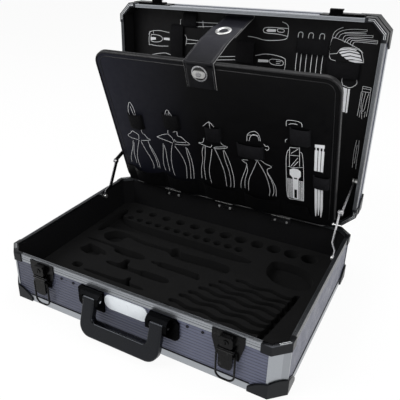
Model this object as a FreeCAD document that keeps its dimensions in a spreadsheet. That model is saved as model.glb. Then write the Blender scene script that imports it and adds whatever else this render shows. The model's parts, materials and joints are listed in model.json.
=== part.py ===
# Hard tool case: an aluminium framed case, lid open, with foam inlay and a hinged tool board
import FreeCAD, Part
import Sketcher
import math
import os
import re

# Driving dimensions in millimetres, and angles in degrees
DIMENSIONS = {
    # Case shell, the same make for base and lid
    "CaseWidth": 480.0,
    "CaseDepth": 349.0,
    "BaseHeight": 87.0,
    "LidHeight": 43.5,
    "CornerCut": 20.0,
    "EdgeThick": 1.0,
    "PanelThick": 4.0,
    "LiningThick": 1.0,
    "RimFace": 12.5,
    "RimReturn": 6.0,
    "EdgeFace": 11.5,
    "PostWrap": 3.0,
    "RimGap": 0.4,
    "GrooveDepth": 0.4,
    "GrooveWidth": 0.7,
    "GrooveInset": 2.0,
    "GrooveStep": 1.8,
    # Plastic corner caps and guards
    "CapThick": 1.5,
    "CapReach": 14.0,
    "CapHeight": 14.0,
    "GuardThick": 2.2,
    "GuardReach": 28.0,
    "GuardHeight": 27.0,
    "GuardRound": 40.0,
    # Foam
    "FoamPlay": 0.3,
    "BedThick": 6.0,
    "InlayThick": 18.0,
    # Lid hinges, on the outside of the rear walls
    "HingeOut": 2.5,
    "BarrelRadius": 2.2,
    "PinRadius": 1.2,
    "PinPlay": 0.05,
    "LeafThick": 1.0,
    "LeafDrop": 11.7,
    "HingeHalf": 22.0,
    "BarrelGap": 0.3,
    "HingeSpread": 150.0,
    # Tool board and its hinges, on the inside of the rear wall
    "BoardTilt": 19.4,
    "BoardStayGap": 6.1,
    "BoardShift": -2.5,
    "BoardFoot": 5.0,
    "BoardEndGap": 38.0,
    "BoardThick": 8.0,
    "BoardRound": 24.0,
    "BindingThick": 1.8,
    "BindingProud": 0.8,
    "BoardBarrel": 1.9,
    "BoardPin": 1.0,
    "BoardAxisRise": 1.0,
    "BoardAxisGap": 0.4,
    "WallLeafDrop": 20.0,
    "BoardLeafLength": 18.0,
    "BoardHingeHalf": 19.0,
    "BoardHingeSpread": 115.0,
    "RivetRadius": 2.2,
    "RivetProud": 0.9,
    "RivetDrop": 15.0,
    # Pockets and elastic loops on the board
    "PocketWidth": 68.0,
    "PocketBulge": 13.0,
    "PocketWall": 1.6,
    "PocketFoot": 5.0,
    "PocketHeight": 44.0,
    "SlimPocketWidth": 44.0,
    "LowStripHeight": 14.7,
    "LoopWidth": 15.0,
    "LoopThick": 1.2,
    "LoopRise": 6.0,
    # Tool panel in the lid
    "LidPanelPlay": 1.0,
    "LidPanelThick": 7.5,
    # Strap between the board and the lid
    "StrapWidth": 53.0,
    "StrapShift": -9.0,
    "StrapThick": 2.2,
    "StrapPlay": 0.3,
    "StrapDrop": 44.0,
    "StrapEndFore": 16.5,
    "StrapEndDrop": 23.7,
    "StrapBendFore": 69.5,
    "StrapBendDrop": 40.2,
    "StrapTuckFore": 42.5,
    "StrapTuckDrop": 34.8,
    "StrapFixDrop": 12.2,
    "EyeletOuter": 14.0,
    "EyeletInner": 7.5,
    "EyeletThick": 1.4,
    "EyeletInset": 15.0,
    "LockDrop": 16.5,
    "StemRadius": 3.0,
    "KnobLong": 11.0,
    "KnobWide": 6.5,
    "KnobThick": 2.4,
    "StemHead": 1.2,
    # Folding lid stays
    "StayWidth": 9.0,
    "StayThick": 1.6,
    "StayHole": 2.55,
    "StayPost": 2.5,
    "StayHead": 4.2,
    "StayHeadThick": 2.2,
    "StayInset": 17.0,
    "StayLayerGap": 1.4,
    "StayPlay": 0.2,
    "StayButton": 1.4,
    "StayFootInset": 9.4,
    "StayFootLength": 12.0,
    "StayJoggle": 12.0,
    "StayBaseFore": 90.5,
    "StayBaseDrop": 11.0,
    "StayElbowFore": 55.5,
    "StayElbowRise": 55.0,
    "StayLidOut": 19.0,
    "StayLidRise": 81.8,
    # Handle
    "HandleSpread": 58.0,
    "HandleHalf": 69.0,
    "ArmWidth": 21.0,
    "HandleDrop": 57.0,
    "GripHeight": 25.0,
    "HandleThick": 13.0,
    "HandleRound": 20.0,
    "HandleInnerRound": 7.0,
    "HandleEdgeRound": 3.0,
    "HandlePin": 2.0,
    "HandleTilt": 18.0,
    "HandleAxisOut": 10.5,
    "HandleAxisDrop": 26.0,
    "BracketInner": 17.5,
    "BracketOuter": 30.0,
    "BracketLowDrop": 50.0,
    "BracketHighDrop": 14.0,
    "BracketThick": 3.5,
    "EarOut": 16.5,
    "EarGap": 0.6,
    "EarThick": 6.0,
    "EarLowDrop": 37.0,
    "RoofThick": 4.0,
    "BracketBevel": 5.0,
    "PinProud": 0.6,
    # Label plate and rivets on the front
    "LabelWidth": 76.0,
    "LabelHeight": 25.0,
    "LabelThick": 1.4,
    "LabelRound": 11.0,
    "LabelX": -2.0,
    "LabelDrop": 27.5,
    "FrontRivetNear": 100.0,
    "FrontRivetFar": 123.5,
    "FrontRivetDrop": 19.0,
    # Latches
    "LatchInset": 78.5,
    "LatchPlateThick": 1.5,
    "LatchTopDrop": 2.0,
    "LatchShoulderDrop": 17.0,
    "LatchFootDrop": 43.0,
    "LatchPlateHalf": 23.5,
    "LatchFootHalf": 16.5,
    "LockWidth": 20.0,
    "LockLowDrop": 20.5,
    "LockHighDrop": 4.0,
    "LockOut": 8.0,
    "LockBevel": 2.5,
    "LockDepth": 6.0,
    "CylinderRadius": 4.2,
    "CylinderProud": 1.0,
    "KeySlotLong": 5.0,
    "KeySlotWide": 1.4,
    "LeverHalf": 10.2,
    "LeverAxisOut": 7.0,
    "LeverAxisDrop": 26.0,
    "LeverBarrel": 2.8,
    "LeverThick": 4.4,
    "LeverLength": 31.0,
    "LeverRound": 6.0,
    "LatchEar": 1.4,
    "LatchEarRadius": 2.9,
    "LatchEarGap": 0.3,
    "LatchPin": 1.3,
    "BailRadius": 1.5,
    "BailHalf": 13.7,
    "BailAxisDrop": 8.0,
    "BailLength": 43.0,
    "BailBend": 3.0,
    "BailBottomBend": 10.0,
    "BailGrip": 2.0,
    "CatchHalf": 25.0,
    "CatchThick": 1.5,
    "CatchLowDrop": 25.5,
    "CatchHighDrop": 3.5,
    "HookHalf": 10.0,
    "HookOut": 9.0,
    "HookSeatDrop": 6.9,
    "HookThick": 3.0,
    "HookLip": 5.0,
    "HookLipThick": 2.4,
    # Overrun of every cut past the face that it opens
    "Over": 1.0,
}

# Places that formulas share
HALF_X = "CaseWidth / 2"
HALF_Y = "CaseDepth / 2"
SKIN = "(EdgeThick + PanelThick)"
INSIDE = "(EdgeThick + PanelThick + LiningThick)"
HINGE_Y = "(CaseDepth / 2 + HingeOut)"
HINGE_Z = "(BaseHeight + RimGap / 2)"
LID_BACK_Y = "(CaseDepth / 2 + HingeOut + RimGap / 2 + LidHeight)"
LID_MID_Z = "(CaseDepth / 2 + HingeOut + BaseHeight + RimGap / 2)"
FOAM_TOP = "(PanelThick + BedThick + InlayThick)"
RIM_TOP_Z = f"({HINGE_Z} + CaseDepth)"
BOARD_AXIS_Y = f"(CaseDepth / 2 - {INSIDE} - BoardBarrel - BoardAxisGap)"
BOARD_AXIS_Z = "(BaseHeight + BoardAxisRise)"
BOARD_BACK = "(0 - BoardBarrel)"
BOARD_FRONT = "(0 - BoardBarrel - BoardThick)"
BOARD_LENGTH = f"(CaseDepth - 2 * {INSIDE} - BoardEndGap)"
BOARD_TOP = f"(BoardFoot + {BOARD_LENGTH})"
STAY_INNER = f"({HALF_X} - StayInset)"
BOARD_WIDTH = f"(2 * ({STAY_INNER} - StayButton - BoardStayGap + BoardShift))"
STAY_BASE = (f"({HALF_Y} - StayBaseFore)", "(BaseHeight - StayBaseDrop)")
STAY_ELBOW = (f"({HALF_Y} - StayElbowFore)", "(BaseHeight + StayElbowRise)")
STAY_LID = (f"({HINGE_Y} + StayLidOut)", f"({HINGE_Z} + StayLidRise)")
STRAP_END = (f"({HALF_Y} - StrapEndFore)", f"({RIM_TOP_Z} - StrapEndDrop)")
STRAP_BEND = (f"({HALF_Y} - StrapBendFore)", f"({RIM_TOP_Z} - StrapBendDrop)")
STRAP_TUCK = (f"({HALF_Y} - StrapTuckFore)", f"({RIM_TOP_Z} - StrapTuckDrop)")
LID_PANEL_FACE = "(PanelThick + LidPanelThick)"
FRONT_FACE = "(EdgeThick - CaseDepth / 2)"
HANDLE_Z = "(BaseHeight - HandleAxisDrop)"
BRACKET_LOW = "(BaseHeight - BracketLowDrop)"
BRACKET_HIGH = "(BaseHeight - BracketHighDrop)"
EAR_LOW = "(BaseHeight - EarLowDrop)"
LABEL_Z = "(BaseHeight - LabelDrop)"
FRONT_RIVET_Z = "(BaseHeight - FrontRivetDrop)"
LATCH_X = "(CaseWidth / 2 - LatchInset)"
LATCH_TOP = "(BaseHeight - LatchTopDrop)"
LATCH_SHOULDER = "(BaseHeight - LatchShoulderDrop)"
LATCH_FOOT = "(BaseHeight - LatchFootDrop)"
LOCK_LOW = "(BaseHeight - LockLowDrop)"
LOCK_HIGH = "(BaseHeight - LockHighDrop)"
LEVER_Z = "(BaseHeight - LeverAxisDrop)"
CATCH_LOW = "(LidHeight - CatchLowDrop)"
CATCH_HIGH = "(LidHeight - CatchHighDrop)"
HOOK_SEAT = "(LidHeight - HookSeatDrop)"

WORD = re.compile(r"[A-Za-z_]\w*")
NODES = {}

doc = FreeCAD.newDocument("ToolCase")
sheet = doc.addObject("Spreadsheet::Sheet", "Dims")
for row, (alias, value) in enumerate(DIMENSIONS.items(), 1):
    sheet.set(f"A{row}", alias)
    sheet.set(f"B{row}", str(value))
    sheet.setAlias(f"B{row}", alias)
doc.recompute()


def in_sheet(text):
    """A formula with each dimension written as the sheet's own cell."""
    return WORD.sub(lambda word: f"Dims.{word[0]}" if word[0] in DIMENSIONS else word[0], text)


probe = doc.addObject("App::FeaturePython", "probe")
probe.addProperty("App::PropertyFloat", "value")


def number(text):
    """The present value of a formula, for shapes that are worked out point by point."""
    probe.setExpression("value", in_sheet(text))
    probe.recompute()
    return probe.value


def bind(item, **formulas):
    """Ties an object's properties to formulas over the sheet."""
    for name, text in formulas.items():
        item.setExpression(name.replace("_", "."), in_sheet(text))
    return item


def put(item, x="0", y="0", z="0", turn=None, angle=None):
    """Places an object at a point given by formulas, turned by degrees or by a formula."""
    if turn:
        axis, degrees = turn
        item.Placement = FreeCAD.Placement(FreeCAD.Vector(), FreeCAD.Rotation(axis, degrees))
    if angle:
        bind(item, Placement_Rotation_Angle=angle)
    return bind(item, Placement_Base_x=x, Placement_Base_y=y, Placement_Base_z=z)


X_AXIS = FreeCAD.Vector(1, 0, 0)
Y_AXIS = FreeCAD.Vector(0, 1, 0)
Z_AXIS = FreeCAD.Vector(0, 0, 1)


def block(x0, x1, y0, y1, z0, z1):
    """A box between two corners."""
    item = doc.addObject("Part::Box", "block")
    bind(item, Length=f"({x1}) - ({x0})", Width=f"({y1}) - ({y0})", Height=f"({z1}) - ({z0})")
    return put(item, x0, y0, z0)


def rod(axis, radius, low, high, first, second):
    """A cylinder along one axis; first and second place it on the other two."""
    item = doc.addObject("Part::Cylinder", "rod")
    bind(item, Radius=radius, Height=f"({high}) - ({low})")
    if axis == "X":
        return put(item, low, first, second, (Y_AXIS, 90))
    if axis == "Y":
        return put(item, first, low, second, (X_AXIS, -90))
    return put(item, first, second, low)


def fuse(*items):
    """One solid from several."""
    item = doc.addObject("Part::MultiFuse", "joined")
    item.Shapes = list(items)
    item.Refine = True
    return item


def group(*items):
    """Separate solids kept together."""
    item = doc.addObject("Part::Compound", "group")
    item.Links = list(items)
    return item


def cut(base, *tools):
    """A solid with others taken from it."""
    item = doc.addObject("Part::Cut", "cut")
    item.Base = base
    item.Tool = tools[0] if len(tools) == 1 else fuse(*tools)
    return item


def common(first, second):
    """What two solids share."""
    item = doc.addObject("Part::Common", "shared")
    item.Base = first
    item.Tool = second
    return item


def mirrored(item, normal):
    """The mirror image across the plane through the origin."""
    copy = doc.addObject("Part::Mirroring", "mirror")
    copy.Source = item
    copy.Normal = normal
    return copy


def both_sides(item):
    """A solid and its image on the other side of the case."""
    return group(item, mirrored(item, X_AXIS))


def at_four_corners(item):
    """A solid and its images at the other three corners."""
    across = mirrored(item, X_AXIS)
    return group(item, across, mirrored(item, Y_AXIS), mirrored(across, Y_AXIS))


def octagon(inset, z0, z1):
    """The case's plan with its corners cut, drawn in by the inset."""
    plain = block(f"{inset} - {HALF_X}", f"{HALF_X} - {inset}", f"{inset} - {HALF_Y}",
                  f"{HALF_Y} - {inset}", z0, z1)
    side = f"(((CaseWidth + CaseDepth) / 2 - CornerCut) * sqrt(2) - 2 * ({inset}))"
    turned = doc.addObject("Part::Box", "diamond")
    bind(turned, Length=side, Width=side, Height=f"({z1}) - ({z0})")
    put(turned, "0", f"0 - {side} / sqrt(2)", z0, (Z_AXIS, 45))
    return common(plain, turned)


def ring(outer, inner, z0, z1):
    """The band between two insets of the plan."""
    return cut(octagon(outer, z0, z1), octagon(inner, f"({z0}) - Over", f"({z1}) + Over"))


def rounded_plate(x0, x1, y0, y1, z0, z1, radius):
    """An upright plate, thick along Y, with its four corners rounded."""
    parts = [
        block(x0, x1, y0, y1, f"({z0}) + {radius}", f"({z1}) - {radius}"),
        block(f"({x0}) + {radius}", f"({x1}) - {radius}", y0, y1, z0, z1),
    ]
    for x in (f"({x0}) + {radius}", f"({x1}) - {radius}"):
        for z in (f"({z0}) + {radius}", f"({z1}) - {radius}"):
            parts.append(rod("Y", radius, y0, y1, x, z))
    return fuse(*parts)


def flat_plate(x0, x1, y0, y1, z0, z1, radius):
    """A lying plate, thick along Z, with its four corners rounded."""
    parts = [
        block(x0, x1, f"({y0}) + {radius}", f"({y1}) - {radius}", z0, z1),
        block(f"({x0}) + {radius}", f"({x1}) - {radius}", y0, y1, z0, z1),
    ]
    for x in (f"({x0}) + {radius}", f"({x1}) - {radius}"):
        for y in (f"({y0}) + {radius}", f"({y1}) - {radius}"):
            parts.append(rod("Z", radius, z0, z1, x, y))
    return fuse(*parts)


def padded(corners, y0, y1):
    """A body padded along Y from a sketch of X and Z corners, each tied to the sheet."""
    body = doc.addObject("PartDesign::Body", "body")
    sketch = body.newObject("Sketcher::SketchObject", "outline")
    upright = next(f for f in body.Origin.OriginFeatures if f.Role == "XZ_Plane")
    sketch.AttachmentSupport = [(upright, "")]
    sketch.MapMode = "FlatFace"
    bind(sketch, AttachmentOffset_Base_z=f"0 - ({y1})")
    spots = [FreeCAD.Vector(number(x), number(z), 0) for x, z in corners]
    for start, end in zip(spots, spots[1:] + spots[:1]):
        sketch.addGeometry(Part.LineSegment(start, end), False)
    for line in range(len(spots)):
        following = (line + 1) % len(spots)
        sketch.addConstraint(Sketcher.Constraint("Coincident", line, 2, following, 1))
    for line, (x, z) in enumerate(corners):
        for kind, value, text in (("DistanceX", spots[line].x, x), ("DistanceY", spots[line].y, z)):
            index = sketch.addConstraint(Sketcher.Constraint(kind, line, 1, value))
            sketch.setExpression(f"Constraints[{index}]", in_sheet(text))
    pad = body.newObject("PartDesign::Pad", "pad")
    pad.Profile = sketch
    bind(pad, Length=f"({y1}) - ({y0})")
    return body


def rounded(body, radius, chosen):
    """Fillets the edges of a body that the test picks by their middle and direction."""
    doc.recompute()
    last = body.Tip
    names = []
    for index, edge in enumerate(last.Shape.Edges, 1):
        middle = edge.valueAt((edge.FirstParameter + edge.LastParameter) / 2)
        if chosen(middle, edge.tangentAt(edge.FirstParameter)):
            names.append(f"Edge{index}")
    fillet = body.newObject("PartDesign::Fillet", "rounding")
    fillet.Base = (last, names)
    return bind(fillet, Radius=radius)


def ribbon(points, thick, low, high, to_space):
    """A strip of even thickness along flat points, extruded between low and high."""
    half = thick / 2
    sides = ([], [])
    for index, (u, v) in enumerate(points):
        before = points[max(index - 1, 0)]
        after = points[min(index + 1, len(points) - 1)]
        ways = []
        for start, end in ((before, (u, v)), ((u, v), after)):
            span = math.hypot(end[0] - start[0], end[1] - start[1])
            if span:
                ways.append(((end[0] - start[0]) / span, (end[1] - start[1]) / span))
        mean = [sum(part) / len(ways) for part in zip(*ways)]
        scale = half / (mean[0] ** 2 + mean[1] ** 2)
        for side, sign in zip(sides, (1, -1)):
            side.append((u - sign * mean[1] * scale, v + sign * mean[0] * scale))
    outline = [to_space(u, v, low) for u, v in sides[0] + sides[1][::-1]]
    face = Part.Face(Part.makePolygon(outline + outline[:1]))
    item = doc.addObject("Part::Feature", "ribbon")
    item.Shape = face.extrude(to_space(0, 0, high) - to_space(0, 0, low))
    return item


def bent_wire(points, bends, radius):
    """A round wire along straight runs joined by tangent arcs, one bend radius a corner."""
    edges = []
    start = points[0]
    for corner, following, bend in zip(points[1:-1], points[2:], bends):
        back = (start - corner).normalize()
        ahead = (following - corner).normalize()
        half_turn = back.getAngle(ahead) / 2
        reach = bend / math.tan(half_turn)
        first = corner + back * reach
        last = corner + ahead * reach
        bisector = (back + ahead).normalize()
        middle = corner + bisector * (bend / math.sin(half_turn) - bend)
        edges.append(Part.LineSegment(start, first).toShape())
        edges.append(Part.Arc(first, middle, last).toShape())
        start = last
    edges.append(Part.LineSegment(start, points[-1]).toShape())
    path = Part.Wire(edges)
    way = points[1] - points[0]
    ring_edge = Part.Edge(Part.Circle(points[0], way, radius))
    item = doc.addObject("Part::Feature", "wire")
    item.Shape = path.makePipeShell([Part.Wire([ring_edge])], True, False)
    return item


def on_lid(item):
    """Turns a piece drawn with the lid's back at z = 0 to where the open lid stands."""
    return put(item, "0", LID_BACK_Y, LID_MID_Z, (X_AXIS, 90))


def on_board(item):
    """Turns a piece drawn upright on the board's hinge axis to the board's tilt."""
    return put(item, "0", BOARD_AXIS_Y, BOARD_AXIS_Z, (X_AXIS, 20), "BoardTilt")


def node(label, item, seat=None):
    """Names a finished sub-part, seated on the body that carries it."""
    item.Label = label
    NODES[label] = seat(item) if seat else item
    return item


# Case shell: floor, walls, posts, rim, outer edge, caps, guards and lining


def tray(part, floor, height, seat):
    """One half of the case, drawn with its outer face at z = 0 and its rim at the height."""
    wall_top = f"({height} - EdgeThick)"
    flange = f"({height} - RimFace)"
    reach_x = f"({HALF_X} - CornerCut - PostWrap)"
    reach_y = f"({HALF_Y} - CornerCut - PostWrap)"
    node(floor, octagon("EdgeThick", "0", "PanelThick"), seat)
    front = block(f"0 - {reach_x}", reach_x, f"EdgeThick - {HALF_Y}", f"{SKIN} - {HALF_Y}",
                  "PanelThick", wall_top)
    back = block(f"0 - {reach_x}", reach_x, f"{HALF_Y} - {SKIN}", f"{HALF_Y} - EdgeThick",
                 "PanelThick", wall_top)
    if seat:
        front, back = back, front
    node(f"{part}_front_wall", group(front), seat)
    node(f"{part}_back_wall", group(back), seat)
    right = block(f"{HALF_X} - {SKIN}", f"{HALF_X} - EdgeThick", f"0 - {reach_y}", reach_y,
                  "PanelThick", wall_top)
    node(f"{part}_side_walls", both_sides(right), seat)
    post = fuse(ring("EdgeThick", SKIN, "PanelThick", wall_top),
                ring("0", "EdgeThick", "EdgeFace", flange))
    corner = block(reach_x, HALF_X, reach_y, HALF_Y, "0", height)
    node(f"{part}_corner_posts", at_four_corners(common(post, corner)), seat)
    grooves = [
        ring("EdgeThick", SKIN, f"{flange} - Over", wall_top),
        ring(SKIN, f"({INSIDE} + Over)", f"{flange} - Over", f"{height} - RimReturn"),
    ]
    for step in range(2):
        inset = f"(GrooveInset + {step} * GrooveStep)"
        grooves.append(ring(inset, f"({inset} + GrooveWidth)", f"{height} - GrooveDepth",
                            f"{height} + Over"))
        low = f"({flange} + {step + 1} * RimFace / 3)"
        grooves.append(ring("(0 - Over)", "GrooveDepth", low, f"{low} + GrooveWidth"))
    node(f"{part}_rim", cut(ring("0", INSIDE, flange, height), *grooves), seat)
    node(f"{part}_outer_edge", ring("0", "EdgeThick", "0", "EdgeFace"), seat)
    cap_corner = block(f"{HALF_X} - CornerCut - CapReach", f"{HALF_X} + CapThick",
                       f"{HALF_Y} - CornerCut - CapReach", f"{HALF_Y} + CapThick", "0", height)
    cap = common(ring("(0 - CapThick)", "0", f"{height} - CapHeight", height), cap_corner)
    node(f"{part}_rim_caps", at_four_corners(cap), seat)
    guard_corner = block(f"{HALF_X} - CornerCut - GuardReach", f"{HALF_X} + GuardThick",
                         f"{HALF_Y} - CornerCut - GuardReach", f"{HALF_Y} + GuardThick",
                         "0", "GuardHeight")
    crown = doc.addObject("Part::Cylinder", "crown")
    bind(crown, Radius="GuardRound", Height="4 * GuardRound")
    back_off = "(CornerCut / 2 + 2 * GuardRound / sqrt(2))"
    put(crown, f"{HALF_X} - {back_off}", f"{HALF_Y} - {back_off}", "GuardHeight - GuardRound",
        (FreeCAD.Vector(-1, 1, 0), 90))
    guard = common(common(ring("(0 - GuardThick)", "0", "0", "GuardHeight"), guard_corner), crown)
    node(f"{part}_corner_guards", at_four_corners(guard), seat)
    node(f"{part}_lining", ring(SKIN, INSIDE, "PanelThick", f"{height} - RimReturn"), seat)


tray("base", "base_floor", "BaseHeight", None)
tray("lid", "lid_top_panel", "LidHeight", on_lid)

# Foam: a plain bed and an inlay with a recess for each tool

FOAM_HALF_X = f"({HALF_X} - {INSIDE} - FoamPlay)"
FOAM_HALF_Y = f"({HALF_Y} - {INSIDE} - FoamPlay)"
INLAY_LOW = "(PanelThick + BedThick - Over)"
INLAY_HIGH = f"({FOAM_TOP} + Over)"

# Straight recesses: both ends and the half width, as shares of the foam's half width and depth
SLOT_SHARES = (
    (-0.83, 0.40, 0.43, 0.40, 0.034),
    (-0.90, 0.76, -0.90, 0.20, 0.036),
    (-0.66, 0.16, 0.33, 0.155, 0.030),
    (-0.20, 0.16, 0.31, 0.155, 0.046),
    (-0.84, 0.0, -0.33, -0.045, 0.020),
    (-0.60, -0.02, -0.47, -0.03, 0.036),
    (-0.85, -0.20, -0.66, -0.25, 0.034),
    (-0.53, -0.30, -0.02, -0.31, 0.030),
    (-0.52, -0.24, -0.44, -0.24, 0.042),
    (-0.20, -0.07, 0.12, -0.07, 0.026),
    (-0.62, -0.53, -0.13, -0.53, 0.020),
    (-0.29, -0.47, -0.24, -0.60, 0.016),
    (-0.74, -0.48, -0.68, -0.48, 0.032),
)
# Width of a recess between its round ends, as a share of their diameter
WAIST_SHARE = 0.97
# Rows of round recesses: x and y of both ends and both radii, as shares
SOCKET_COUNT = 12
SOCKET_ROW_SHARES = (
    (-0.76, 0.835, 0.79, 0.78, 0.031, 0.060),
    (-0.80, 0.635, 0.25, 0.605, 0.026, 0.037),
)
# Wrench recesses: x and y of both ends of the first and the last, and the half width, as shares
WRENCH_COUNT = 8
WRENCH_SHARES = ((0.39, 0.02, 0.83, 0.05), (0.03, -0.66, 0.76, -0.58))
WRENCH_WIDTH_SHARES = (0.018, 0.036)
# Left side and rear side of the part of the foam that holds the wrenches, as shares
WRENCH_PART_SHARES = (-0.005, 0.11)
# Recess for a ratchet's head: centre and radius, as shares
RATCHET_SHARES = (-0.725, 0.19, 0.072)
# Pocket for a tape measure: centre, half sizes and corner radius, as shares
TAPE_SHARES = (0.72, 0.44, 0.165, 0.24, 0.08)


def foam_x(share):
    return f"({share} * {FOAM_HALF_X})"


def foam_y(share):
    return f"({share} * {FOAM_HALF_Y})"


def slot(x0, y0, x1, y1, half):
    """A recess with round ends between two points."""
    ends = [rod("Z", half, INLAY_LOW, INLAY_HIGH, x, y) for x, y in ((x0, y0), (x1, y1))]
    middle = doc.addObject("Part::Box", "slot")
    along, across = f"(({x1}) - ({x0}))", f"(({y1}) - ({y0}))"
    span = f"sqrt({along}^2 + {across}^2)"
    waist = f"({WAIST_SHARE} * {half})"
    bind(middle, Length=span, Width=f"2 * {waist}", Height=f"{INLAY_HIGH} - {INLAY_LOW}")
    put(middle, f"{x0} + {waist} * {across} / {span}", f"{y0} - {waist} * {along} / {span}",
        INLAY_LOW, (Z_AXIS, 20), f"atan2({across}; {along})")
    return fuse(middle, *ends)


def between(low, high, share):
    return low + (high - low) * share


recesses = []
for x0, y0, x1, y1, half in SLOT_SHARES:
    recesses.append(slot(foam_x(x0), foam_y(y0), foam_x(x1), foam_y(y1), foam_x(half)))
for x0, y0, x1, y1, first, last in SOCKET_ROW_SHARES:
    for number_in_row in range(SOCKET_COUNT):
        share = number_in_row / (SOCKET_COUNT - 1)
        recesses.append(rod("Z", foam_x(between(first, last, share)), INLAY_LOW, INLAY_HIGH,
                            foam_x(between(x0, x1, share)), foam_y(between(y0, y1, share))))
for wrench in range(WRENCH_COUNT):
    share = wrench / (WRENCH_COUNT - 1)
    ends = [between(a, b, share) for a, b in zip(*WRENCH_SHARES)]
    x0, x1 = foam_x(ends[0]), foam_x(ends[2])
    y0, y1 = foam_y(ends[1]), foam_y(ends[3])
    shaft, head = (foam_x(width) for width in WRENCH_WIDTH_SHARES)
    recesses.append(slot(x0, y0, x1, y1, shaft))
    recesses += [rod("Z", head, INLAY_LOW, INLAY_HIGH, x, y) for x, y in ((x0, y0), (x1, y1))]
ratchet_x, ratchet_y, ratchet_radius = RATCHET_SHARES
recesses.append(rod("Z", foam_x(ratchet_radius), INLAY_LOW, INLAY_HIGH, foam_x(ratchet_x),
                    foam_y(ratchet_y)))
tape_x, tape_y, tape_half_x, tape_half_y, tape_round = TAPE_SHARES
recesses.append(flat_plate(
    foam_x(tape_x - tape_half_x), foam_x(tape_x + tape_half_x), foam_y(tape_y - tape_half_y),
    foam_y(tape_y + tape_half_y), INLAY_LOW, INLAY_HIGH, foam_x(tape_round)))

foam_inset = f"({INSIDE} + FoamPlay)"
node("foam_bed", octagon(foam_inset, "PanelThick", "PanelThick + BedThick"))
inlay = cut(octagon(foam_inset, "PanelThick + BedThick", FOAM_TOP), *recesses)
wrench_part = block(foam_x(WRENCH_PART_SHARES[0]), HALF_X, f"0 - {HALF_Y}",
                    foam_y(WRENCH_PART_SHARES[1]), "0", FOAM_TOP)
node("foam_inlay", group(cut(inlay, wrench_part), common(inlay, wrench_part)))

# Hinges: leaves of five knuckles, shared three and two

KNUCKLES = 5
BASE_KNUCKLES = (0, 2, 4)
OTHER_KNUCKLES = (1, 3)


def leaf(x, half, own, plate_y, plate_z, tab_z, axis_y, axis_z, barrel, pin):
    """A hinge leaf: a plate, and a tab and knuckle in each of its own shares of the width."""
    parts = [block(f"{x} - {half}", f"{x} + {half}", *plate_y, *plate_z)]
    for knuckle in own:
        x0 = f"{x} - {half} + {knuckle} * 2 * {half} / {KNUCKLES} + BarrelGap / 2"
        x1 = f"{x} - {half} + {knuckle + 1} * 2 * {half} / {KNUCKLES} - BarrelGap / 2"
        parts.append(block(x0, x1, *plate_y, *tab_z))
        parts.append(rod("X", barrel, x0, x1, axis_y, axis_z))
    bore = rod("X", f"{pin} + PinPlay", f"{x} - {half} - Over", f"{x} + {half} + Over",
               axis_y, axis_z)
    return cut(fuse(*parts), bore)


lid_hinge_x = [f"({place} * HingeSpread)" for place in (-1, 0, 1)]
base_plate_top = f"({HINGE_Z} - BarrelRadius - BarrelGap)"
node("lid_hinge_base_leaves", group(*[
    leaf(x, "HingeHalf", BASE_KNUCKLES, (HALF_Y, f"{HALF_Y} + LeafThick"),
         (f"{HINGE_Z} - LeafDrop", base_plate_top), (base_plate_top, HINGE_Z),
         HINGE_Y, HINGE_Z, "BarrelRadius", "PinRadius") for x in lid_hinge_x]))
lid_axis_z = "(LidHeight + RimGap / 2)"
lid_plate_top = f"({lid_axis_z} - BarrelRadius - BarrelGap)"
node("lid_hinge_lid_leaves", group(*[
    leaf(x, "HingeHalf", OTHER_KNUCKLES, (f"0 - {HALF_Y} - LeafThick", f"0 - {HALF_Y}"),
         (f"{lid_axis_z} - LeafDrop", lid_plate_top), (lid_plate_top, lid_axis_z),
         f"0 - {HINGE_Y}", lid_axis_z, "BarrelRadius", "PinRadius") for x in lid_hinge_x]), on_lid)
node("lid_hinge_pins", group(*[
    rod("X", "PinRadius", f"{x} - HingeHalf", f"{x} + HingeHalf", HINGE_Y, HINGE_Z)
    for x in lid_hinge_x]))

board_hinge_x = [f"({place} * BoardHingeSpread + BoardShift)" for place in (-1, 0, 1)]
wall_face = f"({HALF_Y} - {INSIDE})"
wall_plate_top = f"({BOARD_AXIS_Z} - BoardBarrel - BarrelGap)"
node("board_hinge_wall_leaves", group(*[
    leaf(x, "BoardHingeHalf", BASE_KNUCKLES, (f"{wall_face} - LeafThick", wall_face),
         (f"{BOARD_AXIS_Z} - WallLeafDrop", wall_plate_top), (wall_plate_top, BOARD_AXIS_Z),
         BOARD_AXIS_Y, BOARD_AXIS_Z, "BoardBarrel", "BoardPin") for x in board_hinge_x]))
leaf_foot = "(BoardBarrel + BarrelGap)"
node("board_hinge_board_leaves", group(*[
    leaf(x, "BoardHingeHalf", OTHER_KNUCKLES, (BOARD_BACK, f"{BOARD_BACK} + LeafThick"),
         (leaf_foot, "BoardLeafLength"), ("0", leaf_foot), "0", "0", "BoardBarrel", "BoardPin")
    for x in board_hinge_x]), on_board)
node("board_hinge_pins", group(*[
    rod("X", "BoardPin", f"{x} - BoardHingeHalf", f"{x} + BoardHingeHalf",
        BOARD_AXIS_Y, BOARD_AXIS_Z) for x in board_hinge_x]))

# Tool board: panel, binding, pockets and elastic loops

BOARD_LEFT = f"(BoardShift - {BOARD_WIDTH} / 2)"
BOARD_RIGHT = f"(BoardShift + {BOARD_WIDTH} / 2)"


def board_outline(grow, y0, y1):
    """The board's rounded outline, grown all round."""
    return rounded_plate(f"{BOARD_LEFT} - {grow}", f"{BOARD_RIGHT} + {grow}", y0, y1,
                         f"BoardFoot - {grow}", f"{BOARD_TOP} + {grow}", f"(BoardRound + {grow})")


node("tool_board", board_outline("0", BOARD_FRONT, BOARD_BACK), on_board)
node("board_binding", cut(
    board_outline("BindingThick", f"{BOARD_FRONT} - BindingProud", BOARD_BACK),
    board_outline("0", f"{BOARD_FRONT} - BindingProud - Over", f"{BOARD_BACK} + Over")), on_board)

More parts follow.
